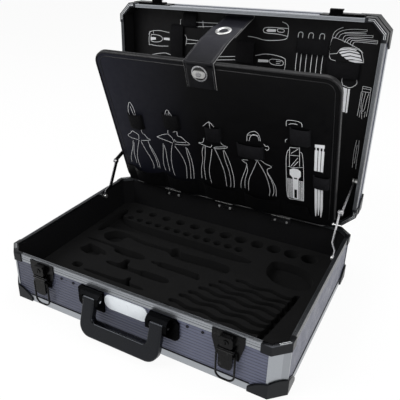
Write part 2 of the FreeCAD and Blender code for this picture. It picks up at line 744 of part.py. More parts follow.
# Pocket centres and elastic loops, as shares of the board's width and length
POCKET_SHARES = (-0.377, -0.196, -0.011, 0.187)
SLIM_POCKET_SHARE = 0.344
LOOP_SHARES = (
    (-0.370, 0.488, 0.075, 0.107),
    (-0.187, 0.535, 0.080, 0.104),
    (0.004, 0.502, 0.075, 0.097),
    (0.161, 0.431, 0.117, 0.090),
    (0.363, 0.584, 0.080, 0.104),
    (0.447, 0.308, 0.068, 0.084),
)


def board_x(share):
    return f"(BoardShift + {share} * {BOARD_WIDTH})"


arc_radius = "(((PocketWidth / 2)^2 + PocketBulge^2) / (2 * PocketBulge))"
arc_y = f"({BOARD_FRONT} - PocketBulge + {arc_radius})"
pocket_low = "(BoardFoot + PocketFoot)"
pocket_high = f"({pocket_low} + PocketHeight)"


def bulge(x, radius, z0, z1):
    """A pocket's bowed front, from the board's face outwards."""
    bow = rod("Z", radius, z0, z1, x, arc_y)
    return common(bow, block(f"{x} - {radius}", f"{x} + {radius}", f"{BOARD_FRONT} - {radius}",
                             BOARD_FRONT, z0, z1))


slim_x = board_x(SLIM_POCKET_SHARE)
slim_half = "(SlimPocketWidth / 2)"
slim_out = "(PocketBulge / 2)"
strip_foot = f"({pocket_low} + BoardRound / 2)"
pocket_parts = [
    block(f"{BOARD_LEFT} + BindingProud", f"{slim_x} + {slim_half}",
          f"{BOARD_FRONT} - PocketWall", BOARD_FRONT, strip_foot,
          f"{pocket_high} - PocketFoot"),
    block(f"{slim_x}", f"{BOARD_RIGHT} - BindingProud", f"{BOARD_FRONT} - PocketWall",
          BOARD_FRONT, strip_foot, f"{pocket_low} + LowStripHeight")]
pocket_spaces = []
for share in POCKET_SHARES:
    centre = board_x(share)
    pocket_parts.append(bulge(centre, arc_radius, pocket_low, pocket_high))
    pocket_spaces.append(bulge(centre, f"({arc_radius} - PocketWall)",
                               f"{pocket_low} + PocketWall", f"{pocket_high} + Over"))
pocket_parts.append(block(f"{slim_x} - {slim_half}", f"{slim_x} + {slim_half}",
                          f"{BOARD_FRONT} - {slim_out}", BOARD_FRONT, pocket_low, pocket_high))
pocket_spaces.append(block(
    f"{slim_x} - {slim_half} + PocketWall", f"{slim_x} + {slim_half} - PocketWall",
    f"{BOARD_FRONT} - {slim_out} + PocketWall", BOARD_FRONT, f"{pocket_low} + PocketWall",
    f"{pocket_high} + Over"))
node("board_pockets", cut(fuse(*pocket_parts), *pocket_spaces), on_board)


def staple(x, span, face, z0, z1):
    """An elastic loop that stands off a face and is sewn down at both ends."""
    half = f"({span} / 2)"
    outer = block(f"{x} - {half}", f"{x} + {half}", f"{face} - LoopRise", face, z0, z1)
    inner = block(f"{x} - {half} + LoopThick", f"{x} + {half} - LoopThick",
                  f"{face} - LoopRise + LoopThick", f"{face} + Over", f"{z0} - Over",
                  f"{z1} + Over")
    return cut(outer, inner)


node("board_loops", group(*[
    staple(board_x(x), f"({span} * {BOARD_WIDTH})", BOARD_FRONT,
           f"(BoardFoot + {z} * {BOARD_LENGTH})",
           f"(BoardFoot + ({z} + {tall}) * {BOARD_LENGTH})")
    for x, z, span, tall in LOOP_SHARES]), on_board)

# Lid inside: a tool panel with elastic bands

panel_inset = f"({INSIDE} + LidPanelPlay)"
node("lid_tool_panel", octagon(panel_inset, "PanelThick", LID_PANEL_FACE), on_lid)

# Bands: x as a share of the lid's half width; the middle along the lid, the size
# across and the size along, as shares of its half depth
BAND_SHARES = ((-0.554, 0.612, 0.149, 0.372), (-0.440, 0.853, 0.155, 0.155),
               (0.021, 0.578, 0.195, 0.241))
CROSS_BAND_SHARES = ((0.519, 0.695, 0.321, 0.143), (0.740, 0.506, 0.327, 0.143))


def band(x, y, across, along, sewn_at_sides):
    """An elastic band over the lid's tool panel, sewn down at two opposite edges."""
    x, y = f"({x} * {HALF_X})", f"({y} * {HALF_Y})"
    wide, long = f"({across} * {HALF_Y} / 2)", f"({along} * {HALF_Y} / 2)"
    free_wide, free_long = f"({wide} + Over)", f"({long} - LoopThick)"
    if sewn_at_sides:
        free_wide, free_long = f"({wide} - LoopThick)", f"({long} + Over)"
    outer = block(f"{x} - {wide}", f"{x} + {wide}", f"{y} - {long}", f"{y} + {long}",
                  LID_PANEL_FACE, f"{LID_PANEL_FACE} + LoopRise")
    inner = block(f"{x} - {free_wide}", f"{x} + {free_wide}",
                  f"{y} - {free_long}", f"{y} + {free_long}",
                  f"{LID_PANEL_FACE} - Over", f"{LID_PANEL_FACE} + LoopRise - LoopThick")
    return cut(outer, inner)


node("lid_bands", group(*[band(*sizes, False) for sizes in BAND_SHARES],
                        *[band(*sizes, True) for sizes in CROSS_BAND_SHARES]), on_lid)

# Strap: one half on the board with its eyelets and turn lock, one half on the lid


def tilted(y, z):
    """A point of the upright board, where the tilted board has it."""
    turn = math.radians(number("BoardTilt"))
    return (number(BOARD_AXIS_Y) + y * math.cos(turn) - z * math.sin(turn),
            number(BOARD_AXIS_Z) + y * math.sin(turn) + z * math.cos(turn))


def across_x(u, v, low):
    return FreeCAD.Vector(low, u, v)


strap_x0 = "(StrapShift - StrapWidth / 2)"
strap_x1 = "(StrapShift + StrapWidth / 2)"
strap_flat = f"({BOARD_FRONT} - StrapThick / 2)"
strap_clear = f"({strap_flat} - BindingProud - StrapPlay)"
strap_over = f"({BOARD_TOP} + BindingThick + StrapPlay + StrapThick / 2)"
board_run = [
    tilted(number(strap_flat), number(f"{BOARD_TOP} - StrapDrop")),
    tilted(number(strap_flat), number(f"{BOARD_TOP} - StrapThick")),
    tilted(number(strap_clear), number(f"{BOARD_TOP} - StrapThick / 4")),
    tilted(number(strap_clear), number(f"{strap_over} - StrapThick / 3")),
    tilted(number(f"{strap_clear} + StrapThick / 3"), number(strap_over)),
    tilted(number(f"{BOARD_BACK} - StrapThick"), number(strap_over)),
    tuple(number(place) for place in STRAP_BEND),
    tuple(number(place) for place in STRAP_END),
]
lid_flat_y = number(f"{LID_BACK_Y} - {LID_PANEL_FACE} - StrapThick / 2")
strap_going, strap_rise = (f"({end} - {bend})" for end, bend in zip(STRAP_END, STRAP_BEND))
strap_fix = f"({RIM_TOP_Z} - StrapFixDrop)"
lid_run = [
    (lid_flat_y, number(f"{strap_fix} + StrapThick * 2")),
    (lid_flat_y, number(strap_fix)),
    (number(STRAP_END[0]),
     number(f"{STRAP_TUCK[1]} + ({STRAP_END[0]} - {STRAP_TUCK[0]}) * {strap_rise} / {strap_going}")),
    tuple(number(place) for place in STRAP_TUCK),
]
strap_length = f"sqrt({strap_going}^2 + {strap_rise}^2)"
lock_z = f"({BOARD_TOP} - LockDrop)"
eyelet_barrel = "(EyeletInner + EyeletThick)"


def at_eye(item):
    """Places a piece drawn at the origin on the upper eyelet of the strap."""
    return put(item, "StrapShift", f"{STRAP_END[0]} - EyeletInset * {strap_going} / {strap_length}",
               f"{STRAP_END[1]} - EyeletInset * {strap_rise} / {strap_length}", (X_AXIS, 20),
               f"atan2({strap_rise}; {strap_going})")


def eyelet():
    """A flanged ring through the strap, with the strap's middle at z = 0."""
    flange = rod("Z", "EyeletOuter", "StrapThick / 2", "StrapThick / 2 + EyeletThick", "0", "0")
    barrel = rod("Z", eyelet_barrel, "0 - StrapThick / 2", "StrapThick / 2", "0", "0")
    return cut(fuse(flange, barrel),
               rod("Z", "EyeletInner", "0 - StrapThick", "StrapThick + EyeletThick", "0", "0"))


upper_hole = at_eye(group(rod("Z", eyelet_barrel, "0 - StrapThick", "StrapThick", "0", "0")))
lower_hole = on_board(group(rod("Y", eyelet_barrel, f"{strap_flat} - StrapThick",
                                f"{strap_flat} + StrapThick", "StrapShift", lock_z)))
strap_low, strap_high = number(strap_x0), number(strap_x1)
strap_thick = number("StrapThick")
node("board_strap", cut(ribbon(board_run, strap_thick, strap_low, strap_high, across_x),
                        upper_hole, lower_hole))
node("lid_strap", ribbon(lid_run, strap_thick, strap_low, strap_high, across_x))
knob_back = f"({strap_flat} - StrapThick / 2 - EyeletThick - BarrelGap)"
knob_front = f"({knob_back} - KnobThick)"
stem = fuse(rod("Y", "StemRadius", f"{knob_front} - BarrelGap", BOARD_FRONT, "StrapShift", lock_z),
            rod("Y", "(StemRadius + StemHead)", f"{knob_front} - BarrelGap - StemHead",
                f"{knob_front} - BarrelGap", "StrapShift", lock_z))
lower_eyelet = put(eyelet(), "StrapShift", strap_flat, lock_z, (X_AXIS, 90))
node("strap_eyelet", at_eye(eyelet()))
node("strap_lock_post", group(lower_eyelet, stem), on_board)
knob_reach = "(KnobLong - KnobWide)"
node("turnlock_knob", cut(
    fuse(block(f"StrapShift - {knob_reach}", f"StrapShift + {knob_reach}", knob_front, knob_back,
               f"{lock_z} - KnobWide", f"{lock_z} + KnobWide"),
         *[rod("Y", "KnobWide", knob_front, knob_back, f"StrapShift {sign} {knob_reach}", lock_z)
           for sign in "+-"]),
    rod("Y", "(StemRadius + PinPlay)", f"{knob_front} - Over", f"{knob_back} + Over",
        "StrapShift", lock_z)), on_board)

# Folding stays: a cranked lower arm and a straight upper arm on each side

LAYER_LOW = (STAY_INNER, f"({STAY_INNER} + StayThick)")
LAYER_HIGH = (f"({STAY_INNER} + StayThick + StayLayerGap)",
              f"({STAY_INNER} + 2 * StayThick + StayLayerGap)")
FOOT = (f"({HALF_X} - StayFootInset - StayThick / 2)",
        f"({HALF_X} - StayFootInset + StayThick / 2)")
WALL_X = f"({HALF_X} - {INSIDE})"


def distance(y0, z0, y1, z1):
    return f"sqrt(({y1} - {y0})^2 + ({z1} - {z0})^2)"


def upright_to(item, y0, z0, y1, z1):
    """Turns an arm drawn upright from the origin so that it runs between two points."""
    return put(item, "0", y0, z0, (X_AXIS, -20), f"atan2({z1} - {z0}; {y1} - {y0}) - 90 deg")


def post(y, z, arm):
    """A stay's pivot: a stem on the case's side, a spacer behind the arm and a head over it."""
    head = (f"{arm[0]} - StayPlay - StayHeadThick", f"{arm[0]} - StayPlay")
    return fuse(rod("X", "StayPost", head[0], WALL_X, y, z),
                rod("X", "StayHead", head[0], head[1], y, z),
                rod("X", "StayHead", f"{arm[1]} + StayPlay", WALL_X, y, z))


lower_length = distance(*STAY_BASE, *STAY_ELBOW)
upper_length = distance(*STAY_ELBOW, *STAY_LID)
half_width = "(StayWidth / 2)"
foot_end = "(StayFootLength + StayJoggle)"
crank = padded([
    (FOOT[0], "0"), (FOOT[1], "0"), (FOOT[1], "StayFootLength"), (LAYER_LOW[1], foot_end),
    (LAYER_LOW[1], lower_length), (LAYER_LOW[0], lower_length), (LAYER_LOW[0], foot_end),
    (FOOT[0], "StayFootLength")], f"0 - {half_width}", half_width)
lower_arm = cut(
    fuse(crank, rod("X", half_width, *FOOT, "0", "0"),
         rod("X", half_width, *LAYER_LOW, "0", lower_length),
         rod("X", "StayHead", f"{LAYER_LOW[0]} - StayButton", LAYER_LOW[0], "0", lower_length),
         rod("X", "StayHead", LAYER_LOW[1], f"{LAYER_HIGH[0]} - StayPlay", "0", lower_length)),
    rod("X", "StayHole", f"{FOOT[0]} - Over", f"{FOOT[1]} + Over", "0", "0"))
upper_arm = cut(
    fuse(block(*LAYER_HIGH, f"0 - {half_width}", half_width, "0", upper_length),
         rod("X", half_width, *LAYER_HIGH, "0", "0"),
         rod("X", half_width, *LAYER_HIGH, "0", upper_length),
         rod("X", "StayHead", LAYER_HIGH[1], f"{LAYER_HIGH[1]} + StayButton", "0", "0")),
    rod("X", "StayHole", f"{LAYER_HIGH[0]} - Over", f"{LAYER_HIGH[1]} + Over", "0", upper_length))
upright_to(lower_arm, *STAY_BASE, *STAY_ELBOW)
upright_to(upper_arm, *STAY_ELBOW, *STAY_LID)
node("right_lower_stay", lower_arm)
node("left_lower_stay", mirrored(lower_arm, X_AXIS))
node("right_upper_stay", upper_arm)
node("left_upper_stay", mirrored(upper_arm, X_AXIS))
node("base_stay_pivots", both_sides(post(*STAY_BASE, FOOT)))
node("lid_stay_pivots", both_sides(post(*STAY_LID, LAYER_HIGH)))

# Handle: two brackets with ears, their pins and a swinging grip

AXIS_Y = f"({FRONT_FACE} - HandleAxisOut)"
plate_front = f"({FRONT_FACE} - BracketThick)"
ear_front = f"({FRONT_FACE} - EarOut)"
arm_inner = "(HandleHalf - ArmWidth)"
inner_ear = (f"({arm_inner} - EarGap - EarThick)", f"({arm_inner} - EarGap)")
outer_ear = ("(HandleHalf + EarGap)", "(HandleHalf + EarGap + EarThick)")
plate_x = ("(HandleSpread - BracketInner)", "(HandleSpread + BracketOuter)")
bracket = fuse(
    padded([(plate_x[0], BRACKET_LOW), (f"{plate_x[1]} - BracketBevel", BRACKET_LOW),
            (plate_x[1], f"{BRACKET_LOW} + BracketBevel"), (plate_x[1], f"{BRACKET_HIGH} - BracketBevel"),
            (f"{plate_x[1]} - BracketBevel", BRACKET_HIGH), (plate_x[0], BRACKET_HIGH)],
           plate_front, FRONT_FACE),
    block(*inner_ear, ear_front, plate_front, EAR_LOW, BRACKET_HIGH),
    block(*outer_ear, ear_front, plate_front, EAR_LOW, BRACKET_HIGH),
    block(inner_ear[0], outer_ear[1], ear_front, plate_front, f"{BRACKET_HIGH} - RoofThick",
          BRACKET_HIGH))
bevel = doc.addObject("Part::Box", "bevel")
bind(bevel, Length=f"{outer_ear[1]} - {inner_ear[0]} + 2 * Over", Width="2 * EarOut", Height="EarOut")
put(bevel, f"{inner_ear[0]} - Over", f"{ear_front} - Over", f"{BRACKET_HIGH} - BracketBevel - Over",
    (X_AXIS, 45))
low_bevel = doc.addObject("Part::Box", "bevel")
bind(low_bevel, Length=f"{outer_ear[1]} - {inner_ear[0]} + 2 * Over", Width="2 * EarOut",
     Height="EarOut")
put(low_bevel, f"{inner_ear[0]} - Over", f"{ear_front} + BracketBevel + Over", f"{EAR_LOW} - Over",
    (X_AXIS, 135))
pin_run = (f"{inner_ear[0]} - PinProud", f"{outer_ear[1]} + PinProud")
bracket = cut(bracket, bevel, low_bevel, rod("X", "HandlePin", *pin_run, AXIS_Y, HANDLE_Z))
node("handle_brackets", both_sides(bracket))
node("handle_pins", both_sides(rod("X", "HandlePin", *pin_run, AXIS_Y, HANDLE_Z)))

half_thick = "(HandleThick / 2)"
grip = padded([
    ("0 - HandleHalf", "0"), ("0 - HandleHalf", "0 - HandleDrop"), ("HandleHalf", "0 - HandleDrop"),
    ("HandleHalf", "0"), (arm_inner, "0"), (arm_inner, "GripHeight - HandleDrop"),
    (f"0 - {arm_inner}", "GripHeight - HandleDrop"), (f"0 - {arm_inner}", "0")],
    f"0 - {half_thick}", half_thick)
grip_foot = number("Over - HandleDrop")
grip_head = number("0 - Over")
rounded(grip, "HandleRound", lambda at, way: abs(way.y) > 0.9 and at.z < grip_foot)
rounded(grip, "HandleInnerRound", lambda at, way: abs(way.y) > 0.9 and grip_foot < at.z < grip_head)
rounded(grip, "HandleEdgeRound", lambda at, way: abs(way.y) < 0.1 and at.z < grip_head)
eyes = both_sides(rod("X", half_thick, arm_inner, "HandleHalf", "0", "0"))
bore = rod("X", "(HandlePin + PinPlay)", "0 - HandleHalf - Over", "HandleHalf + Over", "0", "0")
node("handle_grip", put(cut(fuse(grip, eyes), bore), "0", AXIS_Y, HANDLE_Z, (X_AXIS, -20),
                        "0 - HandleTilt"))

# Label plate and rivets

label_high = "(LabelHeight / 2)"
node("label_plate", rounded_plate(
    "(LabelX - LabelWidth / 2)", "(LabelX + LabelWidth / 2)", f"({FRONT_FACE} - LabelThick)",
    FRONT_FACE, f"({LABEL_Z} - {label_high})", f"({LABEL_Z} + {label_high})", "LabelRound"))
node("front_rivets", group(*[
    both_sides(rod("Y", "RivetRadius", f"{FRONT_FACE} - RivetProud", FRONT_FACE, x, FRONT_RIVET_Z))
    for x in ("FrontRivetNear", "FrontRivetFar")]))
leaf_face = f"({wall_face} - LeafThick)"
node("hinge_rivets", group(*[
    rod("Y", "RivetRadius", f"{leaf_face} - RivetProud", leaf_face,
        f"{x} {sign} 3 * BoardHingeHalf / 5", "BaseHeight - RivetDrop")
    for x in board_hinge_x for sign in "+-"]))

# Latches: plate with lock housing and ears, key cylinder, lever and wire bail

PLATE_FRONT = f"(0 - {HALF_Y} - LatchPlateThick)"
LEVER_Y = f"(0 - {HALF_Y} - LeverAxisOut)"
LOCK_Z = f"(({LOCK_LOW} + {LOCK_HIGH}) / 2)"
lock_front = f"({PLATE_FRONT} - LockOut)"


def from_latch(steps, y0, y1):
    """A padded outline symmetric about the latch's middle, from half widths and heights."""
    right = [(f"{LATCH_X} + {half}", z) for half, z in steps]
    left = [(f"{LATCH_X} - {half}", z) for half, z in steps[::-1]]
    return padded(right + left, y0, y1)


ear_x = (f"({LATCH_X} + LeverHalf + LatchEarGap)", f"({LATCH_X} + LeverHalf + LatchEarGap + LatchEar)")
other_ear_x = (f"({LATCH_X} - LeverHalf - LatchEarGap - LatchEar)", f"({LATCH_X} - LeverHalf - LatchEarGap)")
plate_parts = [
    from_latch([("LatchFootHalf", LATCH_FOOT), ("LatchPlateHalf", LATCH_SHOULDER),
                ("LatchPlateHalf", LATCH_TOP)], PLATE_FRONT, f"0 - {HALF_Y}"),
    block(f"{LATCH_X} - LatchFootHalf", f"{LATCH_X} + LatchFootHalf", f"0 - {HALF_Y}", FRONT_FACE,
          LATCH_FOOT, "BaseHeight - RimFace"),
    from_latch([("(LockWidth / 2 - LockBevel)", LOCK_LOW), ("(LockWidth / 2)", f"{LOCK_LOW} + LockBevel"),
                ("(LockWidth / 2)", f"{LOCK_HIGH} - LockBevel"),
                ("(LockWidth / 2 - LockBevel)", LOCK_HIGH)], lock_front, PLATE_FRONT),
]
for low, high in (ear_x, other_ear_x):
    plate_parts.append(block(low, high, LEVER_Y, PLATE_FRONT, f"{LEVER_Z} - LatchEarRadius",
                             f"{LEVER_Z} + LatchEarRadius"))
    plate_parts.append(rod("X", "LatchEarRadius", low, high, LEVER_Y, LEVER_Z))
latch_plate = cut(
    fuse(*plate_parts),
    rod("Y", "(CylinderRadius + PinPlay)", f"{lock_front} - Over", f"{lock_front} + LockDepth",
        LATCH_X, LOCK_Z),
    rod("X", "LatchPin", other_ear_x[0], ear_x[1], LEVER_Y, LEVER_Z))
node("latch_plates", both_sides(latch_plate))
node("latch_pins", both_sides(rod("X", "LatchPin", other_ear_x[0], ear_x[1], LEVER_Y, LEVER_Z)))

lock_cylinder = cut(
    rod("Y", "CylinderRadius", f"{lock_front} - CylinderProud",
        f"{lock_front} + LockDepth - BarrelGap", LATCH_X, LOCK_Z),
    block(f"{LATCH_X} - KeySlotWide / 2", f"{LATCH_X} + KeySlotWide / 2",
          f"{lock_front} - CylinderProud - Over", f"{lock_front} + LockDepth / 2",
          f"{LOCK_Z} - KeySlotLong / 2", f"{LOCK_Z} + KeySlotLong / 2"))
node("right_lock_cylinder", lock_cylinder)
node("left_lock_cylinder", mirrored(lock_cylinder, X_AXIS))

lever_back = f"({LEVER_Y} + LeverThick / 2)"
tongue = from_latch([("LeverHalf", f"{LEVER_Z} - LeverLength"), ("LeverHalf", LEVER_Z)],
                    f"{LEVER_Y} - LeverThick / 2", lever_back)
lever_foot = number(f"{LEVER_Z} - LeverLength + Over")
rounded(tongue, "LeverRound", lambda at, way: abs(way.y) > 0.9 and at.z < lever_foot)
bail_z = f"({LEVER_Z} - BailAxisDrop)"
stub_end = "(LeverHalf - BailGrip)"
lever = cut(
    fuse(tongue, rod("X", "LeverBarrel", f"{LATCH_X} - LeverHalf", f"{LATCH_X} + LeverHalf", LEVER_Y,
                     LEVER_Z)),
    rod("X", "(LatchPin + PinPlay)", f"{LATCH_X} - LeverHalf - Over", f"{LATCH_X} + LeverHalf + Over",
        LEVER_Y, LEVER_Z),
    rod("X", "(BailRadius + PinPlay)", f"{LATCH_X} + {stub_end} - BarrelGap",
        f"{LATCH_X} + LeverHalf + Over", LEVER_Y, bail_z),
    rod("X", "(BailRadius + PinPlay)", f"{LATCH_X} - LeverHalf - Over",
        f"{LATCH_X} - {stub_end} + BarrelGap", LEVER_Y, bail_z))
node("right_lever", lever)
node("left_lever", mirrored(lever, X_AXIS))

bail_y, bail_top = number(LEVER_Y), number(bail_z)
bail_foot = number(f"{bail_z} - BailLength")
bail_points = [FreeCAD.Vector(number(f"{LATCH_X} + {x}"), bail_y, z) for x, z in (
    (stub_end, bail_top), ("BailHalf", bail_top), ("BailHalf", bail_foot),
    ("(0 - BailHalf)", bail_foot), ("(0 - BailHalf)", bail_top), (f"(0 - {stub_end})", bail_top))]
turn, sweep = number("BailBend"), number("BailBottomBend")
bail = bent_wire(bail_points, (turn, sweep, sweep, turn), number("BailRadius"))
node("right_bail", bail)
node("left_bail", mirrored(bail, X_AXIS))

catch_face = f"({HALF_Y} + CatchThick)"
catch = fuse(
    block(f"{LATCH_X} - CatchHalf", f"{LATCH_X} + CatchHalf", HALF_Y, catch_face, CATCH_LOW, CATCH_HIGH),
    block(f"{LATCH_X} - CatchHalf", f"{LATCH_X} + CatchHalf", f"{HALF_Y} - EdgeThick", HALF_Y, CATCH_LOW,
          "LidHeight - RimFace"),
    block(f"{LATCH_X} - HookHalf", f"{LATCH_X} + HookHalf", catch_face, f"{catch_face} + HookOut",
          HOOK_SEAT, f"{HOOK_SEAT} + HookThick"),
    block(f"{LATCH_X} - HookHalf", f"{LATCH_X} + HookHalf", f"{catch_face} + HookOut - HookLipThick",
          f"{catch_face} + HookOut", f"{HOOK_SEAT} - HookLip", HOOK_SEAT))
node("lid_catches", both_sides(catch), on_lid)

# Checks of the tree, then the exports

doc.recompute()
for item in doc.Objects:
    if "Invalid" in item.State or "Error" in item.State:
        raise RuntimeError(f"{item.Label} does not solve: {item.State}")
for label, item in NODES.items():
    if item.Shape.isNull() or not item.Shape.isValid():
        raise RuntimeError(f"{label} has no valid shape")
os.makedirs("parts", exist_ok=True)
for label, item in NODES.items():
    item.Shape.exportStep(f"parts/{label}.step")
print(f"{len(NODES)} sub-parts written")
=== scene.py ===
"""Hard tool case, standing open, with a foam inlay and a hinged tool board.

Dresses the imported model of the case: finishes for panels, frame and fittings, foam
with soft-edged recesses, a padded board with pockets and elastic loops, straps, the
lid's tool panel and the printed tool outlines.
"""

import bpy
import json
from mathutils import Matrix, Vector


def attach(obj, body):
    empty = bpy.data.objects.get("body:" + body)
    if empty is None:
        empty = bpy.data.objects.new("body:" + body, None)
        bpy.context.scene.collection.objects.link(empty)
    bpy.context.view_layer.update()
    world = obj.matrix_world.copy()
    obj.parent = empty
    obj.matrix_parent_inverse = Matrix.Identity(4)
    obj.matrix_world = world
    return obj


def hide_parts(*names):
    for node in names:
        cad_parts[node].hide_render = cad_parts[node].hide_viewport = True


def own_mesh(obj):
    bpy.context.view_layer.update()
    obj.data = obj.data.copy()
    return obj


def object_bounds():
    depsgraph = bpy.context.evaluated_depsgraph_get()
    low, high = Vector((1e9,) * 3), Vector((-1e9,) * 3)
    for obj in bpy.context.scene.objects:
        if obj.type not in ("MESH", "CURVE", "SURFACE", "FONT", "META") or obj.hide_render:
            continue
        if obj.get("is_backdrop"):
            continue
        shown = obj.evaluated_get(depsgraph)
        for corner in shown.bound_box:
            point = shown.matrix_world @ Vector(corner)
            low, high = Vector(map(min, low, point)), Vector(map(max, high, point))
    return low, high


bl_info = {
    "name": "Hard Tool Case",
    "version": (1, 0, 0),
    "blender": (4, 5, 0),
    "location": "3D View > Sidebar > Tool Case",
    "description": "Dresses an aluminium-framed tool case with foam, vinyl and fittings",
    "category": "Object",
}

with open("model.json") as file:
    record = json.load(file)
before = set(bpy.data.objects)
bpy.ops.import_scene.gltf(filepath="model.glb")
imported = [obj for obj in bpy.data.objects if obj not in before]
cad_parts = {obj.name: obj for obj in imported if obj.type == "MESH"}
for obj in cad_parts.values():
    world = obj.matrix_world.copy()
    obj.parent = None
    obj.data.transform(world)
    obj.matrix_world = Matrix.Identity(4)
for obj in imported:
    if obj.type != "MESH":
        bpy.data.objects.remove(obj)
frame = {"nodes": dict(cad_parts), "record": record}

import json
from itertools import pairwise
from math import cos, pi, radians, sin, sqrt, tau

import bmesh
import bpy
from bpy.props import FloatProperty, FloatVectorProperty, PointerProperty
from mathutils import Matrix, Vector

NODES = frame["nodes"]
MM = 0.001
ACROSS = Vector((1, 0, 0))


def light(value):
    """A screen value of 0 to 1 as an amount of light."""
    return value / 12.92 if value <= 0.04045 else ((value + 0.055) / 1.055) ** 2.4


SLOT_COLOURS = {m["slot"]: tuple(light(value) for value in m["base_color"][:3])
                for m in frame["record"]["materials"]}

# Where things are, in millimetres
HALF = (240.0, 174.5)
CORNER_SUM = 394.5
BASE_TOP = 87.0
LID_RIM = 177.2
LID_MIDDLE = 264.2
LID_FACE = 209.2
LID_PANEL = (-233.0, 233.0, 96.7, 431.7)
BOARD_FACE = -9.9
BOARD_THICK = 8.0
BOARD_BOX = (-215.5, 210.5, 5.0, 304.0)
BOARD_ROUND = 24.0
STRAP_X = -9.0
ON_BOARD = (Matrix.Translation((0, 0.1662, 0.088))
            @ Matrix.Rotation(radians(19.4), 4, "X"))


# Places: one function for each surface, whose last number is the height off it

def flat(x, y, z):
    """A place in the frame, from millimetres."""
    return Vector((x * MM, y * MM, z * MM))


def on_board(x, up, out):
    """A place on the tool board: across, up from its hinge and off its face."""
    return ON_BOARD @ flat(x, BOARD_FACE - out, up)


def on_lid(x, up, out):
    """A place on the lid's tool panel: across, height and off its face."""
    return flat(x, LID_FACE - out, up)


def on_base_rim(x, y, level):
    """A place on the rim of the base: x, y and height above it."""
    return flat(x, y, BASE_TOP + level)


def on_lid_rim(x, y, level):
    """A place on the rim of the lid, which stands open; x and y are those of the base."""
    return flat(x, LID_RIM - level, LID_MIDDLE - y)


# Outlines

def pairs(numbers):
    """The points of a run of numbers: x, y, x, y and so on."""
    return list(zip(numbers[::2], numbers[1::2]))


def soften(points, closed=True, rounds=2):
    """Cuts the corners of a run of points, so that it curves."""
    for _ in range(rounds):
        new = [] if closed else [points[0]]
        for a, b in pairwise(points + points[:1] if closed else points):
            new += [tuple(share * p + (1 - share) * q for p, q in zip(a, b))
                    for share in (0.75, 0.25)]
        points = new if closed else new + points[-1:]
    return points


def circle(x, y, radius, count=24):
    return [(x + radius * cos(tau * i / count),
             y + radius * sin(tau * i / count)) for i in range(count)]


def rounded_box(x0, x1, y0, y1, radius):
    """A rectangle with round corners, anticlockwise."""
    steps, points = 8, []
    for cx, cy, start in ((x1 - radius, y1 - radius, 0), (x0 + radius, y1 - radius, 90),
                          (x0 + radius, y0 + radius, 180), (x1 - radius, y0 + radius, 270)):
        for i in range(steps + 1):
            a = radians(start + 90 * i / steps)
            points.append((cx + radius * cos(a), cy + radius * sin(a)))
    return points


def anticlockwise(points):
    """The outline, turned round if it runs clockwise."""
    area = sum(a[0] * b[1] - b[0] * a[1] for a, b in pairwise(points + points[:1]))
    return points if area > 0 else points[::-1]


def moved_out(points, distance):
    """The outline moved outwards by distance, or inwards where it is negative."""
    result = []
    for before, here, after in zip(points[-1:] + points[:-1], points, points[1:] + points[:1]):
        u = Vector((here[0] - before[0], here[1] - before[1])).normalized()
        v = Vector((after[0] - here[0], after[1] - here[1])).normalized()
        edge_normal = Vector((u.y, -u.x))
        normal = Vector((u.y + v.y, -u.x - v.x))
        if normal.length < 1e-6:
            normal = edge_normal.copy()
        normal.normalize()
        spread = max(0.6, normal.dot(edge_normal))
        result.append((here[0] + normal.x * distance / spread,
                       here[1] + normal.y * distance / spread))
    return result


# Meshes

def bridge(bm, a, b, closed=True):
    """Quads between two rows of as many points."""
    for i in range(len(a) if closed else len(a) - 1):
        j = (i + 1) % len(a)
        bm.faces.new((a[i], a[j], b[j], b[i]))


def loft(bm, rows, ends="capped"):
    """A skin through rows of places, with its ends capped, joined or open."""
    rows = [[bm.verts.new(place) for place in row] for row in rows]
    for a, b in pairwise(rows + rows[:1] if ends == "joined" else rows):
        bridge(bm, a, b)
    if ends == "capped":
        bm.faces.new(rows[0])
        bm.faces.new(rows[-1])
    return rows


def cut_sheet(bm, outer, holes, low, high, edge, place, steps=4):
    """A flat sheet with holes, whose upper edges are rounded."""
    rims, feet = [], []
    turns = [pi / 2 * i / steps for i in range(steps + 1)]
    for outline, way in [(outer, -1)] + [(hole, 1) for hole in holes]:
        outline = anticlockwise(outline)
        rows = [[place(x, y, high - edge * (1 - cos(turn)))
                 for x, y in moved_out(outline, way * edge * (1 - sin(turn)))]
                for turn in turns]
        rows = loft(bm, rows + [[place(x, y, low) for x, y in outline]], "open")
        rims.append(rows[0])
        feet.append(rows[-1])
    for loops in (rims, feet):
        edges = [bm.edges.get(ends) or bm.edges.new(ends)
                 for loop in loops for ends in pairwise(loop + loop[:1])]
        bmesh.ops.triangle_fill(bm, edges=edges, use_beauty=True)


# A padded panel's section, as inset and level: its wrapped edge, and a seam's groove
WRAPPED_EDGE = ((0.0, -2.2), (0.25, -1.1), (0.9, -0.4), (2.2, 0.0))
SEAM_GROOVE = ((-0.7, 0.0), (0.0, -0.7), (0.7, 0.0))


def padded_panel(bm, place, box, radius, back, front, crown, band=0.0):
    """A panel with a wrapped, slightly crowned front, and a flat band along its edge."""
    x0, x1, y0, y1 = box
    profile = [(0.0, back)] + [(inset, front + level) for inset, level in WRAPPED_EDGE]
    if band:
        profile += [(band + inset, front + level) for inset, level in SEAM_GROOVE]
    profile += [(band + 7.0, front + crown * 0.55), (band + 16.0, front + crown)]
    loft(bm, [[place(x, y, level) for x, y in rounded_box(
        x0 + inset, x1 - inset, y0 + inset, y1 - inset, max(radius - inset, 1.0))]
        for inset, level in profile])


def directions(path, closed=False):
    """The way along a path at each of its places."""
    first, last = (path[-1:], path[:1]) if closed else (path[:1], path[-1:])
    return [(b - a).normalized() for a, b in zip(first + path[:-1], path[1:] + last)]


